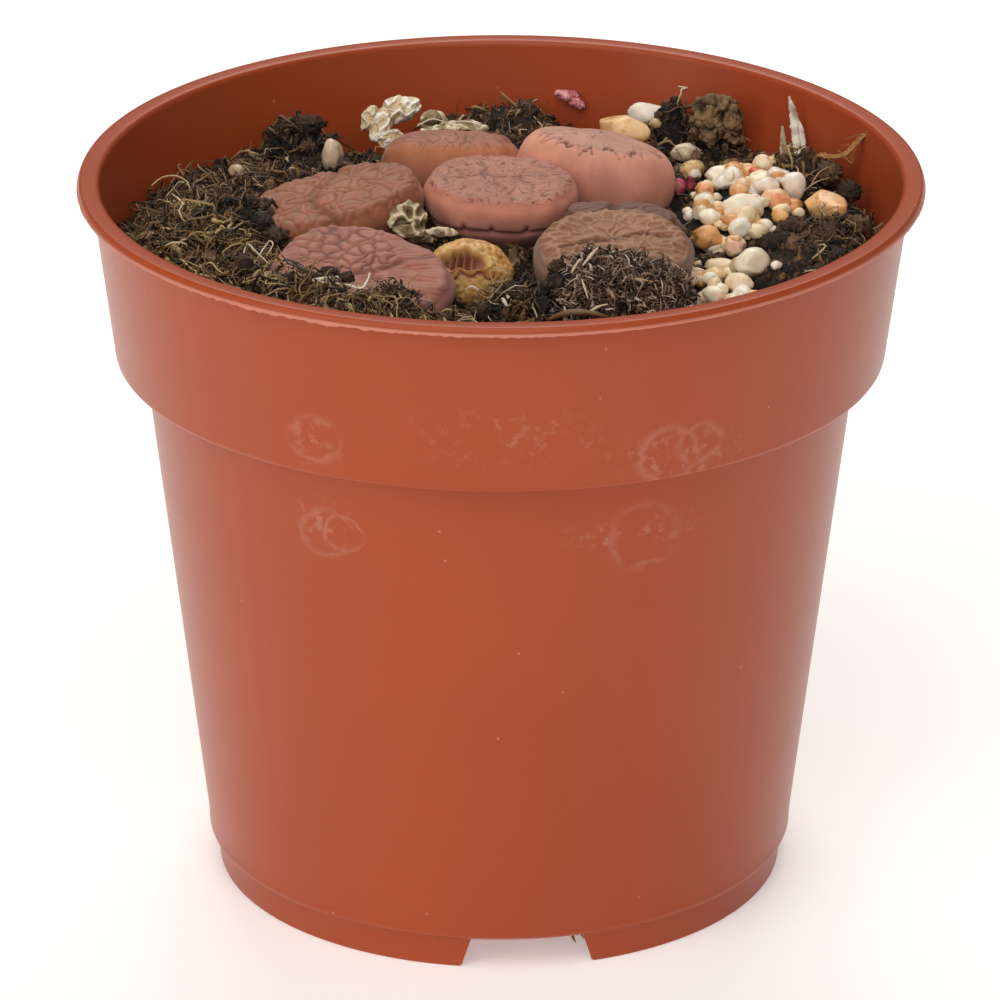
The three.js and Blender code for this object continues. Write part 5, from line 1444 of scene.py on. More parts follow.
# Grit
# Washed quartz and feldspar grit: small worn stones with blunt corners and flat sides, cream, peach
# and orange, a little see-through and softly glossy. Most lie on the peat at the right and the back.
GRIT_SWELL = 1.3
SMALL_SWELL = 1.12
GRIT_MOVED = {
    # node: how much larger it is made, and how far it is lifted
    "stone_back_left": (1.6, 0.6),
    "stone_white_back": (1.55, 0.7),
    "stone_yellow_long": (1.5, 1.3),
    "stone_oval_right": (1.35, 0.7),
    "stone_front_large": (1.4, 0.2),
    "stone_front_second": (1.4, 0.2),
    "stone_white_tan": (1.4, 0.2),
    "stone_orange_front": (1.4, 0.2),
    "stone_left_pale": (1.3, 0.3),
}
GRIT_FLATS = 13
FLAT_PLACES = (0.74, 0.95)
FLAT_WEAR = 0.8
GRIT_COLOURS = {
    # node: main colour, stain colour, and how much of the stone is stained
    "stone_oval_right": ("#e4b77e", "#c78f4e", 0.35),
    "stone_grey_right": ("#9f9a96", "#87817f", 0.5),
    "stone_cream_large": ("#f3dec4", "#d7b793", 0.3),
    "stone_peach": ("#f6bf96", "#db8e5a", 0.4),
    "stone_cream_top": ("#ffe7c7", "#f0c393", 0.3),
    "stone_white_tall": ("#f7eadd", "#e2c9a9", 0.35),
    "stone_cream_flat": ("#f3e3ce", "#d9bc96", 0.3),
    "stone_white_mid": ("#fbf4ef", "#e0d2bf", 0.3),
    "stone_red": ("#c45538", "#9b3f2a", 0.4),
    "stone_white_orange": ("#fae3c7", "#e49a53", 0.5),
    "stone_yellow_back": ("#ddb983", "#bb9051", 0.4),
    "stone_peach_small": ("#efba96", "#cd9463", 0.4),
    "stone_yellow_right": ("#d9b983", "#9e7f4a", 0.4),
    "stone_pale_back": ("#cdbfa2", "#a0906e", 0.4),
    "stone_orange_left": ("#de9e6c", "#c47640", 0.4),
    "stone_cream_left": ("#ead9bc", "#c4ad85", 0.3),
    "stone_amber": ("#d9a162", "#ad7135", 0.5),
    "stone_pink_white": ("#f7e3d0", "#e0b393", 0.4),
    "stone_pink_low": ("#efccaf", "#d59f7d", 0.4),
    "stone_flat_cream": ("#e0cba8", "#bb9f73", 0.4),
    "stone_pale_pair": ("#e4c196", "#bb935f", 0.5),
    "stone_front_large": ("#f6dfc3", "#d1ad81", 0.35),
    "stone_front_second": ("#efd6b4", "#c4a374", 0.35),
    "stone_white_tan": ("#f3ddbf", "#d5a063", 0.5),
    "stone_orange_front": ("#ebaa69", "#cf7a37", 0.5),
    "stone_left_pale": ("#cdb69b", "#a58f72", 0.4),
    "stone_left_small": ("#c9b395", "#9e8a6c", 0.4),
    "stone_back_left": ("#dcc7a2", "#b39a72", 0.3),
    "stone_yellow_long": ("#e6c18c", "#b98a52", 0.5),
    "stone_white_back": ("#fff4e0", "#dfcaa6", 0.3),
    "stone_dark_front": ("#644e51", "#47373b", 0.4),
    "stone_front_grit": ("#d4ba9a", "#a28967", 0.4),
}
SMALL_GRIT = [
    # x, y, height over the ground, length, width, thickness, turn, main colour, stain colour
    (16.2, 29.8, 0.5, 1.5, 1.1, 1.0, 20, "#ccb181", "#9b8351"),
    (18.7, 22.9, 0.5, 1.3, 1.1, 0.9, 0, "#d5ab75", "#ac804a"),
    (20.0, 19.3, 0.6, 1.4, 1.2, 1.1, 40, "#f4e9df", "#ccb99f"),
    (19.4, 7.6, 0.5, 1.7, 1.3, 1.1, 10, "#f0e3d1", "#c9b394"),
    (22.0, -0.1, 0.9, 2.6, 1.9, 1.8, 70, "#cdc7b1", "#a09c7f"),
    (25.6, 3.0, 0.9, 1.5, 1.3, 1.2, 0, "#efd090", "#c49e57"),
    (25.8, 1.2, 0.7, 1.2, 1.0, 0.9, 30, "#e4d3b1", "#bba274"),
    (35.6, 5.3, 0.6, 1.6, 1.2, 1.0, 0, "#bba074", "#8c724a"),
    (32.1, -0.1, 0.6, 0.8, 0.7, 0.6, 0, "#deb56f", "#ae8541"),
    (19.9, -5.4, 0.5, 1.5, 1.2, 1.0, 15, "#cbaa80", "#9b7b51"),
    (18.7, -8.2, 0.5, 1.4, 1.2, 1.0, 0, "#d5b78e", "#a3875f"),
    (19.6, -10.6, 0.6, 1.9, 1.3, 1.1, -20, "#dec5a2", "#ac9169"),
    (27.4, -11.4, 0.6, 1.5, 1.0, 0.9, 60, "#f3e6d5", "#cab79b"),
    (18.9, -18.6, 0.5, 2.7, 1.9, 1.4, -35, "#a49174", "#7d6c53"),
    (22.4, -19.2, 0.5, 1.9, 1.3, 1.2, 10, "#f0d7b1", "#c79d69"),
    (-4.1, 31.4, 0.7, 1.4, 1.2, 1.0, 0, "#ddd0b7", "#ab9d7f"),
    (-10.4, 34.9, 0.8, 1.6, 1.2, 1.0, 0, "#d5b06c", "#9f8043"),
    (27.2, 12.3, 0.9, 1.6, 1.2, 1.0, 25, "#f3dab9", "#cca16f"),
    (24.6, 9.0, 1.0, 1.9, 1.5, 1.3, 75, "#f0d0aa", "#d99a63"),
    (26.5, 5.6, 1.0, 1.4, 1.2, 1.1, 0, "#f6e1c1", "#d1aa7d"),
    (22.2, 3.4, 0.8, 1.6, 1.3, 1.1, 50, "#da9a5e", "#ae6e38"),
    (21.6, 13.6, 0.7, 1.3, 1.1, 1.0, 0, "#e0c9a0", "#af9363"),
    (24.8, 16.8, 0.7, 1.6, 1.2, 1.0, 30, "#e7c794", "#b88f51"),
    (26.2, 18.0, 0.6, 1.9, 1.3, 1.1, -10, "#cfad74", "#9d7a42"),
    (30.6, 13.4, 0.6, 1.5, 1.1, 1.0, 10, "#ecd6b4", "#bf9f75"),
    (-33.4, 10.6, 0.4, 1.3, 1.0, 0.9, 0, "#c4b29b", "#968569"),
    (-35.2, -4.2, 0.4, 1.9, 1.4, 1.0, -30, "#d5bd94", "#a48f62"),
    (-34.4, 0.4, 0.6, 1.5, 1.2, 0.9, 20, "#c7b495", "#96835f"),
    (-27.2, 3.4, 0.6, 0.9, 0.8, 0.7, 0, "#cdbaab", "#9d8978"),
    (-28.0, 8.0, 0.5, 1.3, 1.1, 0.9, 0, "#9e958c", "#786f68"),
    (-25.4, 6.6, 0.5, 1.1, 0.9, 0.8, 0, "#aea49b", "#7e746b"),
    (-27.8, -14.4, 0.9, 1.1, 0.9, 0.8, 0, "#d9b898", "#b28558"),
    (4.6, -26.6, 0.9, 1.3, 1.0, 0.9, 0, "#aca3a1", "#847673"),
]


def merged_copy(name, node, levels=0):
    """A copy of a CAD node's mesh at its place, its loose triangles merged, then subdivided."""
    source = bpy.data.objects[node]
    made = bpy.data.objects.new(name, source.data.copy())
    made.data.transform(source.matrix_world)
    made.data.materials.clear()
    scene.collection.objects.link(made)
    shape = bmesh.new()
    shape.from_mesh(made.data)
    bmesh.ops.remove_doubles(shape, verts=shape.verts, dist=1e-6)
    shape.to_mesh(made.data)
    shape.free()
    if levels:
        finer = made.modifiers.new("finer", "SUBSURF")
        finer.levels = finer.render_levels = levels
        bake(made)
    return made


def mesh_points(made):
    """An object's points in millimetres."""
    points = np.empty(len(made.data.vertices) * 3)
    made.data.vertices.foreach_get("co", points)
    return points.reshape(-1, 3) * 1000


def set_points(made, points):
    """Puts an object's points back, from millimetres, and shades it smooth."""
    made.data.vertices.foreach_set("co", (points / 1000).ravel())
    made.data.polygons.foreach_set("use_smooth", [True] * len(made.data.polygons))
    made.data.update()


def drawn_way(draw, reach=(1, 1, 1)):
    """A direction drawn at random."""
    way = draw.normal(size=3) * reach
    return way / np.linalg.norm(way)


def washed(points, seed, swell):
    """A round stone given worn flats and a slightly lumpy skin."""
    draw = np.random.default_rng(seed)
    middle = points.mean(axis=0)
    out = (points - middle) * swell
    for _ in range(GRIT_FLATS):
        facing = drawn_way(draw)
        reach = out @ facing
        limit = reach.max() * draw.uniform(*FLAT_PLACES)
        out -= np.maximum(0, reach - limit)[:, None] * facing * FLAT_WEAR
    size = np.abs(out).max()
    for i, p in enumerate(out):
        at = Vector(p / size * 1.6 + middle)
        out[i] *= 1 + 0.1 * noise.noise(at) + 0.03 * noise.noise(at * 4)
    return out + middle


def blended(main, stain, mix):
    """A colour for each point: the main one, or the stain where the mix is 1."""
    return np.array(colour(main)) * (1 - mix) + np.array(colour(stain)) * mix


def tinted(made, points, main, stain, share, seed):
    """Writes each point's colour: the main one, with a stain that gathers on one side."""
    middle = points.mean(axis=0)
    facing = drawn_way(np.random.default_rng(seed))
    side = (points - middle) @ facing / np.abs(points - middle).max()
    patch = np.array([noise.fractal(Vector(p * 0.9), 0.7, 2.0, 3) for p in points])
    mix = 0.7 * ease(side + 0.9 * patch, 0.7 - 1.3 * share, 1.2 - 1.0 * share)[:, None]
    write_values(made, "tint", blended(main, stain, mix))


# Quartz: clear-bodied and stained by iron, worn smooth, so light enters and comes out paler. Even
# the palest stones stay cream, because the stain never quite washes off.
GRIT_BRIGHTER = (1.1, 1.08, 1.12)
GRIT_PALEST = (0.95, 0.86, 0.75)
quartz, tree, shader = new_material(
    "washed_quartz_grit", "#d8c6a4", Roughness=0.36, IOR=1.54, Subsurface_Weight=0.25,
    Subsurface_Radius=(1.0, 0.75, 0.5), Subsurface_Scale=0.0008)
place = add_node(tree, "ShaderNodeTexCoord").outputs["Object"]
read = add_node(tree, "ShaderNodeAttribute", attribute_name="tint")
grains = add_node(tree, "ShaderNodeTexNoise", {
    "Vector": place, "Scale": 900.0, "Detail": 5.0, "Roughness": 0.65})
spread = add_node(tree, "ShaderNodeMapRange", {
    "Value": grains.outputs["Fac"], "From Min": 0.3, "From Max": 0.7, "To Min": 0.9, "To Max": 1.22})
shaded = add_node(tree, "ShaderNodeVectorMath", {
    0: read.outputs["Color"], "Scale": spread}, operation="SCALE")
paler = add_node(tree, "ShaderNodeVectorMath", {0: shaded, 1: GRIT_BRIGHTER}, operation="MULTIPLY")
paler = add_node(tree, "ShaderNodeVectorMath", {0: paler, 1: GRIT_PALEST}, operation="MINIMUM")
tree.links.new(paler.outputs[0], shader.inputs["Base Color"])
bump = add_node(tree, "ShaderNodeBump", {
    "Height": grains.outputs["Fac"], "Distance": 0.00006, "Strength": 0.6})
tree.links.new(bump.outputs["Normal"], shader.inputs["Normal"])

slots = {part["node"]: part["material_slot"] for part in frame["record"]["subparts"]}
for count, (node, (main, stain, share)) in enumerate(GRIT_COLOURS.items()):
    stone = merged_copy(f"grit_{node.removeprefix('stone_')}", node, 2)
    swell, lift = GRIT_MOVED.get(node, (GRIT_SWELL, 0.0))
    points = washed(mesh_points(stone), count, swell) + (0, 0, lift)
    set_points(stone, points)
    tinted(stone, points, main, stain, share, count)
    stone.data.materials.append(quartz)
    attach(stone, "root")
    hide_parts(node)


def ground_height(x, y):
    """The crumbled ground's height at one place."""
    at_x, at_y = np.array([x]), np.array([y])
    return float((heaped(at_x, at_y) + crumbled(at_x, at_y))[0])


def small_stones(name, stones):
    """One piece of many small loose stones, all of the same grit."""
    parts, tints = [], []
    for count, (x, y, over, long, wide, thick, turn, main, stain) in enumerate(stones):
        points, faces = ball(3)
        points = spun(washed(points * (long, wide, thick), 100 + count, SMALL_SWELL), turn)
        points += (x, y, ground_height(x, y) + over)
        parts.append((points, faces))
        patch = np.array([noise.fractal(Vector(p * 1.1), 0.7, 2.0, 3) for p in points])
        mix = 0.45 * ease(patch, -0.1, 0.5)[:, None]
        tints.append(blended(main, stain, mix))
    made = joined(name, parts, "tint", tints)
    made.data.materials.append(quartz)
    return made


# More grit lies between the larger stones: place, size and tone are drawn at random
MORE_GRIT = 130
GRIT_HEAPS = [(24.8, 9.6, 6.0, 9.0), (22.8, 3.2, 3.4, 6.0), (25.6, 13.5, 4.6, 4.6), (22.6, -13.0, 4.4, 6.4)]
GRIT_TONES = ["#f2e3c6", "#e9d2a8", "#e0ab6c", "#f4ece0", "#cf9458", "#d9caa6", "#efd6b8", "#bda679"]
draw = np.random.default_rng(41)
more = []
for count in range(MORE_GRIT):
    gx, gy, half_x, half_y = GRIT_HEAPS[count % 5 % 4]
    away, turn = math.sqrt(draw.uniform(0, 1)), draw.uniform(0, 2 * math.pi)
    long = 1.0 + 1.7 * draw.uniform(0, 1) ** 1.5
    main, stain = draw.choice(GRIT_TONES, 2, replace=False)
    x, y = gx + half_x * away * math.cos(turn), gy + half_y * away * math.sin(turn)
    wide, thick = long * draw.uniform(0.65, 0.9), long * draw.uniform(0.55, 0.8)
    more.append((x, y, 0.2 + 0.4 * long, long, wide, thick, draw.uniform(0, 180), main, stain))
grit_small = small_stones("grit_small", SMALL_GRIT + more)
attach(grit_small, "root")

# Fertiliser granules
# Two coated pellets of slow-release fertiliser, pink and magenta, cracked and half dissolved: salt
# in a coloured resin skin, lying loose on the soil.
for node, main, stain in (("granule_pink", "#c24a62", "#8a2c3c"), ("granule_magenta", "#ad2a4c", "#70182e")):
    pellet = merged_copy(f"fertiliser_{node}", node, 2)
    set_points(pellet, washed(mesh_points(pellet), len(node), SMALL_SWELL))
    # Resin-coated salt: chalky where it has dissolved, with a dull skin
    coat, tree, shader = new_material(
        f"fertiliser_coat_{node.removeprefix('granule_')}", main, Roughness=0.5, IOR=1.5)
    place = add_node(tree, "ShaderNodeTexCoord").outputs["Object"]
    flecks = add_node(tree, "ShaderNodeTexNoise", {"Vector": place, "Scale": 1500.0, "Detail": 3.0})
    ramp = add_node(tree, "ShaderNodeValToRGB", {"Fac": flecks.outputs["Fac"]}, [
        (0.35, stain), (0.5, main), (0.68, "#cf8c90")])
    tree.links.new(ramp.outputs["Color"], shader.inputs["Base Color"])
    pellet.data.materials.append(coat)
    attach(pellet, "root")
    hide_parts(node)

# Dried leaves
# What is left of last year's leaves: an amber sheath torn open in front, a crumpled grey one beside
# it, a scrap between two bodies, and bleached white scraps at the back. Dry, thin and brittle. A
# scrap of a pink petal sticks to the wall at the back.
AMBER_MIDDLE = (-3.2, -13.1, 68.6)
AMBER_HALF = (4.5, 3.9, 3.6)
AMBER_FACES = Vector((-0.1, -0.8, 0.6)).normalized()
AMBER_SIDES = 200
AMBER_RINGS = 120
MOUTH_DEPTH = 0.95
MOUTH_LIP = 0.3


def amber_sheath():
    """A fat closed pod with a torn, arched mouth that faces the front."""
    sideways = Vector((0, 0, 1)).cross(AMBER_FACES).normalized()
    upwards = AMBER_FACES.cross(sideways)
    basis = np.array([-sideways, upwards, AMBER_FACES])
    theta = np.linspace(0, math.pi, AMBER_RINGS + 2)[1:-1][:, None]
    phi = (np.arange(AMBER_SIDES) * 2 * math.pi / AMBER_SIDES)[None, :]
    a, b = -theta * np.cos(phi), theta * np.sin(phi)
    ways = np.stack([np.sin(theta) * np.cos(phi), np.sin(theta) * np.sin(phi),
                     np.cos(theta) * np.ones_like(phi)], -1) @ basis
    x, y = a * AMBER_HALF[0], b * AMBER_HALF[1]
    bent = b - 0.06 - 0.05 * a + 0.03 * folds(x, y, 1.6, 85)
    eye = np.hypot((a + 0.08) / 0.64, bent / np.where(bent > 0, 0.46, 0.15))
    hollow = 1 - ease(eye, 0.86, 1.0)
    lip = np.exp(-(((eye - 1.1) / 0.11) ** 2)) * (0.45 + 0.55 * ease(bent, -0.05, 0.1))
    ribs = folds(x, y * 0.2, 0.9, 81, heading=0.0, spread=0.7) * hollow
    outside = 1 - hollow
    veins = lines_of(folds(x, y, 2.6, 83), 0.0, 0.2) * outside
    under = np.exp(-(((bent + 0.3 + 0.04 * folds(x, y, 2.0, 86)) / 0.05) ** 2))
    under = under * (1 - ease(np.abs(a), 0.5, 0.9))
    relief = (-MOUTH_DEPTH * hollow + MOUTH_LIP * lip + 0.12 * ribs + 0.07 * folds(x, y, 3.4, 82) * outside
              + 0.03 * folds(x, y, 0.8, 87) * outside - 0.05 * veins - 0.16 * under)
    points = np.array(AMBER_MIDDLE) + ways * AMBER_HALF + ways * relief[..., None]
    front, back = points[0].mean(axis=0), points[-1].mean(axis=0)
    all_points = np.vstack([front, points.reshape(-1, 3), back])
    made = add_mesh("dried_leaf_amber", all_points, skin_faces(AMBER_RINGS, AMBER_SIDES))
    below = ease(-bent, 0.1, 0.2) * (1 - ease(-bent, 0.3, 0.5)) * (1 - ease(np.abs(a), 0.6, 1.0))
    for label, values in (("inside", hollow), ("lip", lip), ("band", np.maximum(below, 0.6 * veins)),
                          ("crease", np.maximum(under, hollow * ease(-ribs, 0.3, 1.2)))):
        write_values(made, label, with_poles(values))
    return made


sheath = amber_sheath()
# Dry leaf skin the colour of amber: thin enough for light to pass, faintly glossy, spotted brown
amber, tree, shader = new_material(
    "dry_leaf_skin_amber", "#b0843c", Roughness=0.45, IOR=1.45, Subsurface_Weight=0.2,
    Subsurface_Radius=(1.0, 0.5, 0.2), Subsurface_Scale=0.0008)
place = add_node(tree, "ShaderNodeTexCoord").outputs["Object"]
stretched = add_node(tree, "ShaderNodeMapping", {"Vector": place, "Scale": (1.0, 1.0, 0.6)})
spots = add_node(tree, "ShaderNodeTexNoise", {
    "Vector": stretched, "Scale": 1100.0, "Detail": 5.0, "Roughness": 0.65})
tint = add_node(tree, "ShaderNodeValToRGB", {"Fac": spots.outputs["Fac"]}, [
    (0.3, "#a5723f"), (0.45, "#cd9854"), (0.58, "#e4b572"), (0.72, "#f1d3a2")]).outputs["Color"]
# The crease colour is painted shade: dark in the groove under the mouth and in the troughs of the ribs
# inside it.
for label, hex_code, strength in (("band", "#ab6228", 0.6), ("inside", "#8a5440", 0.95),
                                  ("lip", "#d6b27a", 0.7), ("crease", "#5a2c1a", 0.75)):
    read = add_node(tree, "ShaderNodeAttribute", attribute_name=label)
    share = add_node(tree, "ShaderNodeMath", {0: read.outputs["Fac"], 1: strength}, operation="MULTIPLY")
    tint = add_node(tree, "ShaderNodeMix", {
        "Factor": share, "A": tint, "B": colour(hex_code)}, data_type="RGBA").outputs["Result"]
tree.links.new(tint, shader.inputs["Base Color"])
bump = add_node(tree, "ShaderNodeBump", {
    "Height": spots.outputs["Fac"], "Distance": 0.0001, "Strength": 0.6})
tree.links.new(bump.outputs["Normal"], shader.inputs["Normal"])
sheath.data.materials.append(amber)
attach(sheath, "root")
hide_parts("husk_amber")

SCRAP_THICKNESS = 0.28


def scrap(middle, across, upwards, half, seed, fold, length, bulge, jagged, tone=0.0, cells=48):
    """A torn scrap of dry skin, creased like crushed paper: two layers that meet at its torn edge."""
    across = np.array(across) / np.linalg.norm(across)
    facing = np.cross(across, upwards)
    facing /= np.linalg.norm(facing)
    upwards = np.cross(facing, across)
    flat_x, flat_y = (grid.ravel() for grid in disc_grid(cells))
    reach = np.hypot(flat_x, flat_y)
    layers, crease_shade = np.empty((len(reach), 3)), np.empty(len(reach))
    for i, (a, b) in enumerate(zip(flat_x, flat_y)):
        turn = math.atan2(b, a)
        torn = noise.noise(Vector((math.cos(turn), math.sin(turn), seed)))
        torn += 0.35 * noise.noise(Vector((math.cos(turn) * 3, math.sin(turn) * 3, seed + 9)))
        edge = 1 + jagged * torn
        at = Vector((a * edge * half[0], b * edge * half[1], seed))
        wave = at / (1.5 * length) + noise.noise_vector(at * 0.6) * 0.5
        ridge = 1 - 3.0 * abs(noise.noise(wave)) - 1.3 * abs(noise.noise(wave * 2.1))
        ridge += 0.25 * noise.noise(wave * 7)
        aside = noise.noise_vector(at * 0.9) * fold * 0.7
        layers[i] = (at.x + aside.x, at.y + aside.y, bulge * (1 - reach[i] ** 2) + fold * ridge)
        # Painted shade: the crease value, which darkens the skin, is low where the crumpled skin dips and
        # high on its ridges, raised or lowered by the scrap's tone.
        crease_shade[i] = np.clip(ridge + tone, 0, 1)
    middle_layer = middle + layers @ np.array([across, upwards, facing])
    thick = SCRAP_THICKNESS / 2 * (1 - reach**6)[:, None] * facing
    row = cells + 1
    index = np.arange(row * row).reshape(row, row)
    inner = np.zeros((row, row), bool)
    inner[1:-1, 1:-1] = True
    under = index.copy()
    under[inner] = row * row + np.arange(inner.sum())
    low, high = slice(0, -1), slice(1, None)
    corners = (low, low), (low, high), (high, high), (high, low)
    front = np.stack([index[c] for c in corners], -1).reshape(-1, 4)
    back = np.stack([under[c] for c in corners], -1).reshape(-1, 4)[:, ::-1]
    points = np.vstack([middle_layer + thick, (middle_layer - thick)[inner.ravel()]])
    faces = [tuple(face) for face in np.vstack([front, back])]
    return (points, faces), np.concatenate([crease_shade, crease_shade[inner.ravel()]])


def dry_material(name, dark, light, scale, roughness=0.7, stretch=(1, 1, 1)):
    """Dead plant tissue: matt, streaked along its length, and darker where its crease value is low, which is
    painted shade on the crumpled scraps, part real colour and part painted shade on the bark, and the
    piece's own tone on the slivers and the root strand.
    """
    made, tree, shader = new_material(name, light, Roughness=roughness, IOR=1.4)
    place = add_node(tree, "ShaderNodeTexCoord").outputs["Object"]
    stretched = add_node(tree, "ShaderNodeMapping", {"Vector": place, "Scale": stretch})
    streaks = add_node(tree, "ShaderNodeTexNoise", {
        "Vector": stretched, "Scale": scale, "Detail": 5.0, "Roughness": 0.65})
    read = add_node(tree, "ShaderNodeAttribute", attribute_name="crease")
    share = add_node(tree, "ShaderNodeMix", {
        "Factor": 0.5, "A": streaks.outputs["Fac"], "B": read.outputs["Fac"]}, data_type="FLOAT")
    ramp = add_node(tree, "ShaderNodeValToRGB", {"Fac": share.outputs["Result"]}, [
        (0.22, dark), (0.6, light)])
    tree.links.new(ramp.outputs["Color"], shader.inputs["Base Color"])
    bump = add_node(tree, "ShaderNodeBump", {
        "Height": streaks.outputs["Fac"], "Distance": 0.00012, "Strength": 0.8})
    tree.links.new(bump.outputs["Normal"], shader.inputs["Normal"])
    return made


TO_FRONT_UP = (0, 0.35, 0.94)
DRIED = {
    # node: name, dark and light colours, roughness, then each scrap's middle, direction across,
    # direction upwards, half sizes, seed, depth and length of its folds, bulge, raggedness, tone
    "husk_grey": ("dried_leaf_grey", "#7d6649", "#dfcdae", 0.75, [
        ((-9.3, -2.9, 70.8), (1, 0.1, 0.1), TO_FRONT_UP, (2.0, 1.7), 3.0, 0.5, 1.0, 0.9, 0.35, 0.15),
        ((-5.9, -5.2, 70.2), (1, 0.3, -0.1), (0, 0.8, 0.6), (1.7, 0.55), 5.0, 0.15, 1.0, 0.3, 0.35, 0.25),
        ((-8.6, -4.4, 69.6), (1, 0.2, -0.3), TO_FRONT_UP, (2.3, 0.9), 8.0, 0.4, 0.9, 0.6, 0.35, -0.15)]),
    "husk_papery": ("dried_leaf_papery", "#4c3a26", "#a58a5e", 0.7, [
        ((1.2, -8.4, 68.3), (0.6, 0.5, -0.5), (0.4, 0.4, 0.8), (0.8, 1.7), 12.0, 0.3, 1.3, 0.6, 0.2, 0.0)]),
    "husk_white": ("dried_leaf_white", "#d9c39c", "#fffaf0", 0.75, [
        ((-10.7, 29.6, 70.5), (1, 0, 0.15), TO_FRONT_UP, (2.1, 1.4), 21.0, 0.45, 1.1, 1.3, 0.25, 0.35),
        ((-12.4, 28.0, 69.5), (0.8, 0, -0.5), (0.4, 0.3, 0.9), (1.1, 1.9), 24.0, 0.45, 0.9, 0.9, 0.25, 0.3),
        ((-13.6, 28.8, 69.8), (0.8, 0, -0.4), (0.3, 0.3, 0.9), (1.0, 1.5), 27.0, 0.4, 0.8, 0.8, 0.25, -0.6),
        ((-11.5, 27.0, 68.3), (1, 0, 0), TO_FRONT_UP, (1.5, 1.0), 29.0, 0.35, 0.8, 0.6, 0.25, -0.1),
        ((-9.6, 29.9, 71.0), (1, 0, -0.3), TO_FRONT_UP, (1.4, 0.9), 23.0, 0.35, 1.0, 0.8, 0.25, 0.3)]),
    "husk_rim": ("dried_leaf_rim", "#8c7850", "#f0e4ca", 0.75, [
        ((-7.3, 28.6, 70.0), (1, 0, 0), TO_FRONT_UP, (1.15, 0.85), 31.0, 0.2, 1.4, 1.2, 0.15, 0.1),
        ((-3.6, 24.9, 70.6), (1, 0, -0.1), (0, 0.7, 0.7), (2.4, 0.6), 34.0, 0.2, 1.0, 0.3, 0.35, 0.1),
        ((-6.4, 24.6, 70.3), (1, 0, 0.1), (0, 0.7, 0.7), (2.0, 0.5), 37.0, 0.2, 0.9, 0.3, 0.35, 0.3)]),
    # A petal's scrap, which stands for no node
    "petal": ("pink_petal_scrap", "#c9767c", "#ffb9bd", 0.7, [
        ((7.0, 38.4, 69.0), (1, -0.2, 0), (0, 0.3, 0.95), (1.2, 0.6), 41.0, 0.3, 0.9, 0.4, 0.5, 0.1),
        ((8.1, 38.0, 68.4), (1, -0.2, -0.5), (0, 0.3, 0.95), (0.9, 0.6), 43.0, 0.3, 0.9, 0.4, 0.5, 0.2)]),
}
for node, (name, dark, light, rough, scraps) in DRIED.items():
    made = [scrap(*values) for values in scraps]
    leaf = joined(name, [part for part, _ in made], "crease", [crease for _, crease in made])
    skin = f"dry_leaf_skin_{name.removeprefix('dried_leaf_')}"
    leaf.data.materials.append(dry_material(skin, dark, light, 800.0, rough))
    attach(leaf, "root")
    if node in slots:
        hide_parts(node)

# Slivers, root strand and bark
# Two bleached wood slivers stand in the soil at the right, a frayed tan root strand leans on the
# wall beside them, and a cracked block of bark stands at the back right.
SLIVERS = {
    # node: dark and light colours, then each blade's widths and path
    "sliver_tall": ("#8f7c66", "#f6eee0", [
        ((0.6, 0.9, 1.1, 1.15, 0.8, 0.2), [
            (31.1, 20.4, 66.0), (30.9, 22.0, 68.2), (30.6, 23.3, 70.4), (30.3, 23.9, 72.2),
            (29.8, 24.3, 74.1)]),
        ((0.2, 0.5, 0.6, 0.15), [
            (31.1, 20.6, 67.6), (31.3, 21.8, 69.4), (31.1, 22.6, 70.8), (30.9, 22.9, 71.8)])]),
    "sliver_short": ("#8a7863", "#ddd0b8", [
        ((0.6, 0.9, 0.7, 0.2), [
            (29.6, 18.2, 66.0), (29.3, 19.2, 68.6), (29.1, 19.6, 70.6), (29.0, 19.6, 72.5)])]),
}
for count, (node, (dark, light, blades)) in enumerate(SLIVERS.items()):
    parts = [cord(path, widths, 10, 0.3, 14, 0.5, 4 * count + i, (0, 1, 0.2))
             for i, (widths, path) in enumerate(blades)]
    shades = [np.array([noise.noise(Vector(p * 0.9)) for p in points]) + 0.55 for points, _ in parts]
    sliver = joined(f"wood_{node}", parts, "crease", shades)
    sliver.data.materials.append(dry_material(f"dry_wood_{node}", dark, light, 900.0, 0.75, (1.0, 1.0, 0.2)))
    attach(sliver, "root")
    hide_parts(node)

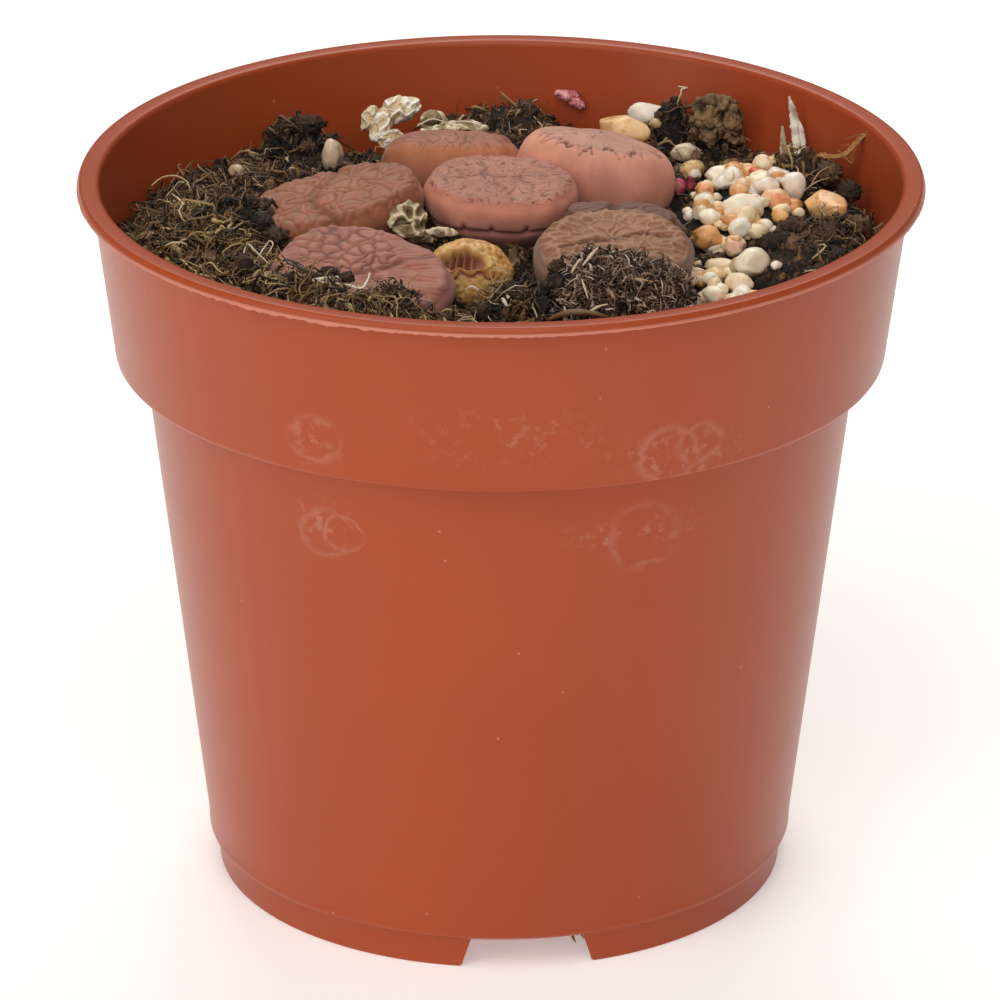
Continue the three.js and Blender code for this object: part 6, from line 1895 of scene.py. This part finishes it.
ROOT_PATH = smooth_through([
    (31.9, 17.6, 67.8), (32.6, 17.0, 70.2), (33.7, 14.6, 71.0), (35.1, 13.6, 71.6), (36.2, 14.4, 72.4),
    (37.2, 15.2, 73.2), (38.7, 14.6, 74.0)], 10)
ROOT_PLIES = 4
FRAYS = 26
FRAY_WIDTHS = (0.09, 0.07, 0.03)
draw = np.random.default_rng(77)
plies, run = [], np.linspace(0, 1, len(ROOT_PATH))
for ply in range(ROOT_PLIES):
    phase = run * 22 + ply * 2 * math.pi / ROOT_PLIES
    twist = np.stack([np.cos(phase), np.sin(phase), 0.4 * np.sin(phase + 1)], -1)
    twist *= (0.2 + 0.1 * run)[:, None]
    plies.append(cord(ROOT_PATH + twist, (0.3, 0.24, 0.26, 0.16), 6, 1.0, 2, 0.5, ply))
for _ in range(FRAYS):
    start = ROOT_PATH[draw.integers(4, len(ROOT_PATH) - 1)]
    way = drawn_way(draw, (1.0, 0.7, 0.7))
    bend = draw.normal(size=3) * 0.35
    far = draw.uniform(0.7, 2.2)
    path = [start, start + way * far * 0.5 + bend, start + way * far]
    plies.append(cord(path, FRAY_WIDTHS, 4, 1.0, 4))
root = joined("root_strand_dry", plies, "crease", list(draw.uniform(0.2, 0.9, len(plies))))
root.data.materials.append(dry_material("dry_root_strand", "#6b4523", "#bb8a55", 700.0, 0.75))
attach(root, "root")
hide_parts("root_strand")

BARK_VOXEL = 0.14
BARK_BLOCK = 2.3
BARK_CHIP = 0.9
CRACK_DEPTH = 0.45
SPLIT_DEPTH = 0.12
BARK_RELIEF = 0.42
bark = merged_copy("bark_chip_cracked", "bark_chip")
even = bark.modifiers.new("even", "REMESH")
even.mode = "VOXEL"
even.voxel_size = BARK_VOXEL / 1000
bake(bark)
points = mesh_points(bark)
ways = np.empty(len(points) * 3)
bark.data.vertices.foreach_get("normal", ways)
depth, tone = np.empty(len(points)), np.empty(len(points))
for i, p in enumerate(points):
    at = Vector((p[0] * 1.1, p[1] * 1.1, p[2] * 0.75))
    blocks = noise.voronoi(at / BARK_BLOCK + noise.noise_vector(at * 0.6) * 0.7)[0]
    chips = noise.voronoi(at / BARK_CHIP + noise.noise_vector(at * 1.6) * 0.5 + Vector((9, 0, 0)))[0]
    crack = 1 - min(1.0, (blocks[1] - blocks[0]) / 0.16)
    split = 1 - min(1.0, (chips[1] - chips[0]) / 0.2)
    rugged = noise.fractal(at * 0.9, 0.6, 2.1, 5)
    depth[i] = 0.15 - CRACK_DEPTH * crack - SPLIT_DEPTH * split + BARK_RELIEF * rugged
    # Its tone is darker in the cracks and splits, as the bark is there, and lighter where the relief stands
    # out: part real colour, part painted shade and painted highlight that follow the relief.
    tone[i] = 0.55 - 0.5 * crack - 0.25 * split + 0.7 * rugged
set_points(bark, points + ways.reshape(-1, 3) * depth[:, None])
write_values(bark, "crease", np.clip(tone, 0, 1))
pine_bark = dry_material("cracked_pine_bark", "#1c130d", "#8c7152", 700.0, 0.85, (0.6, 0.6, 1.4))
bark.data.materials.append(pine_bark)
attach(bark, "root")
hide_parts("bark_chip")
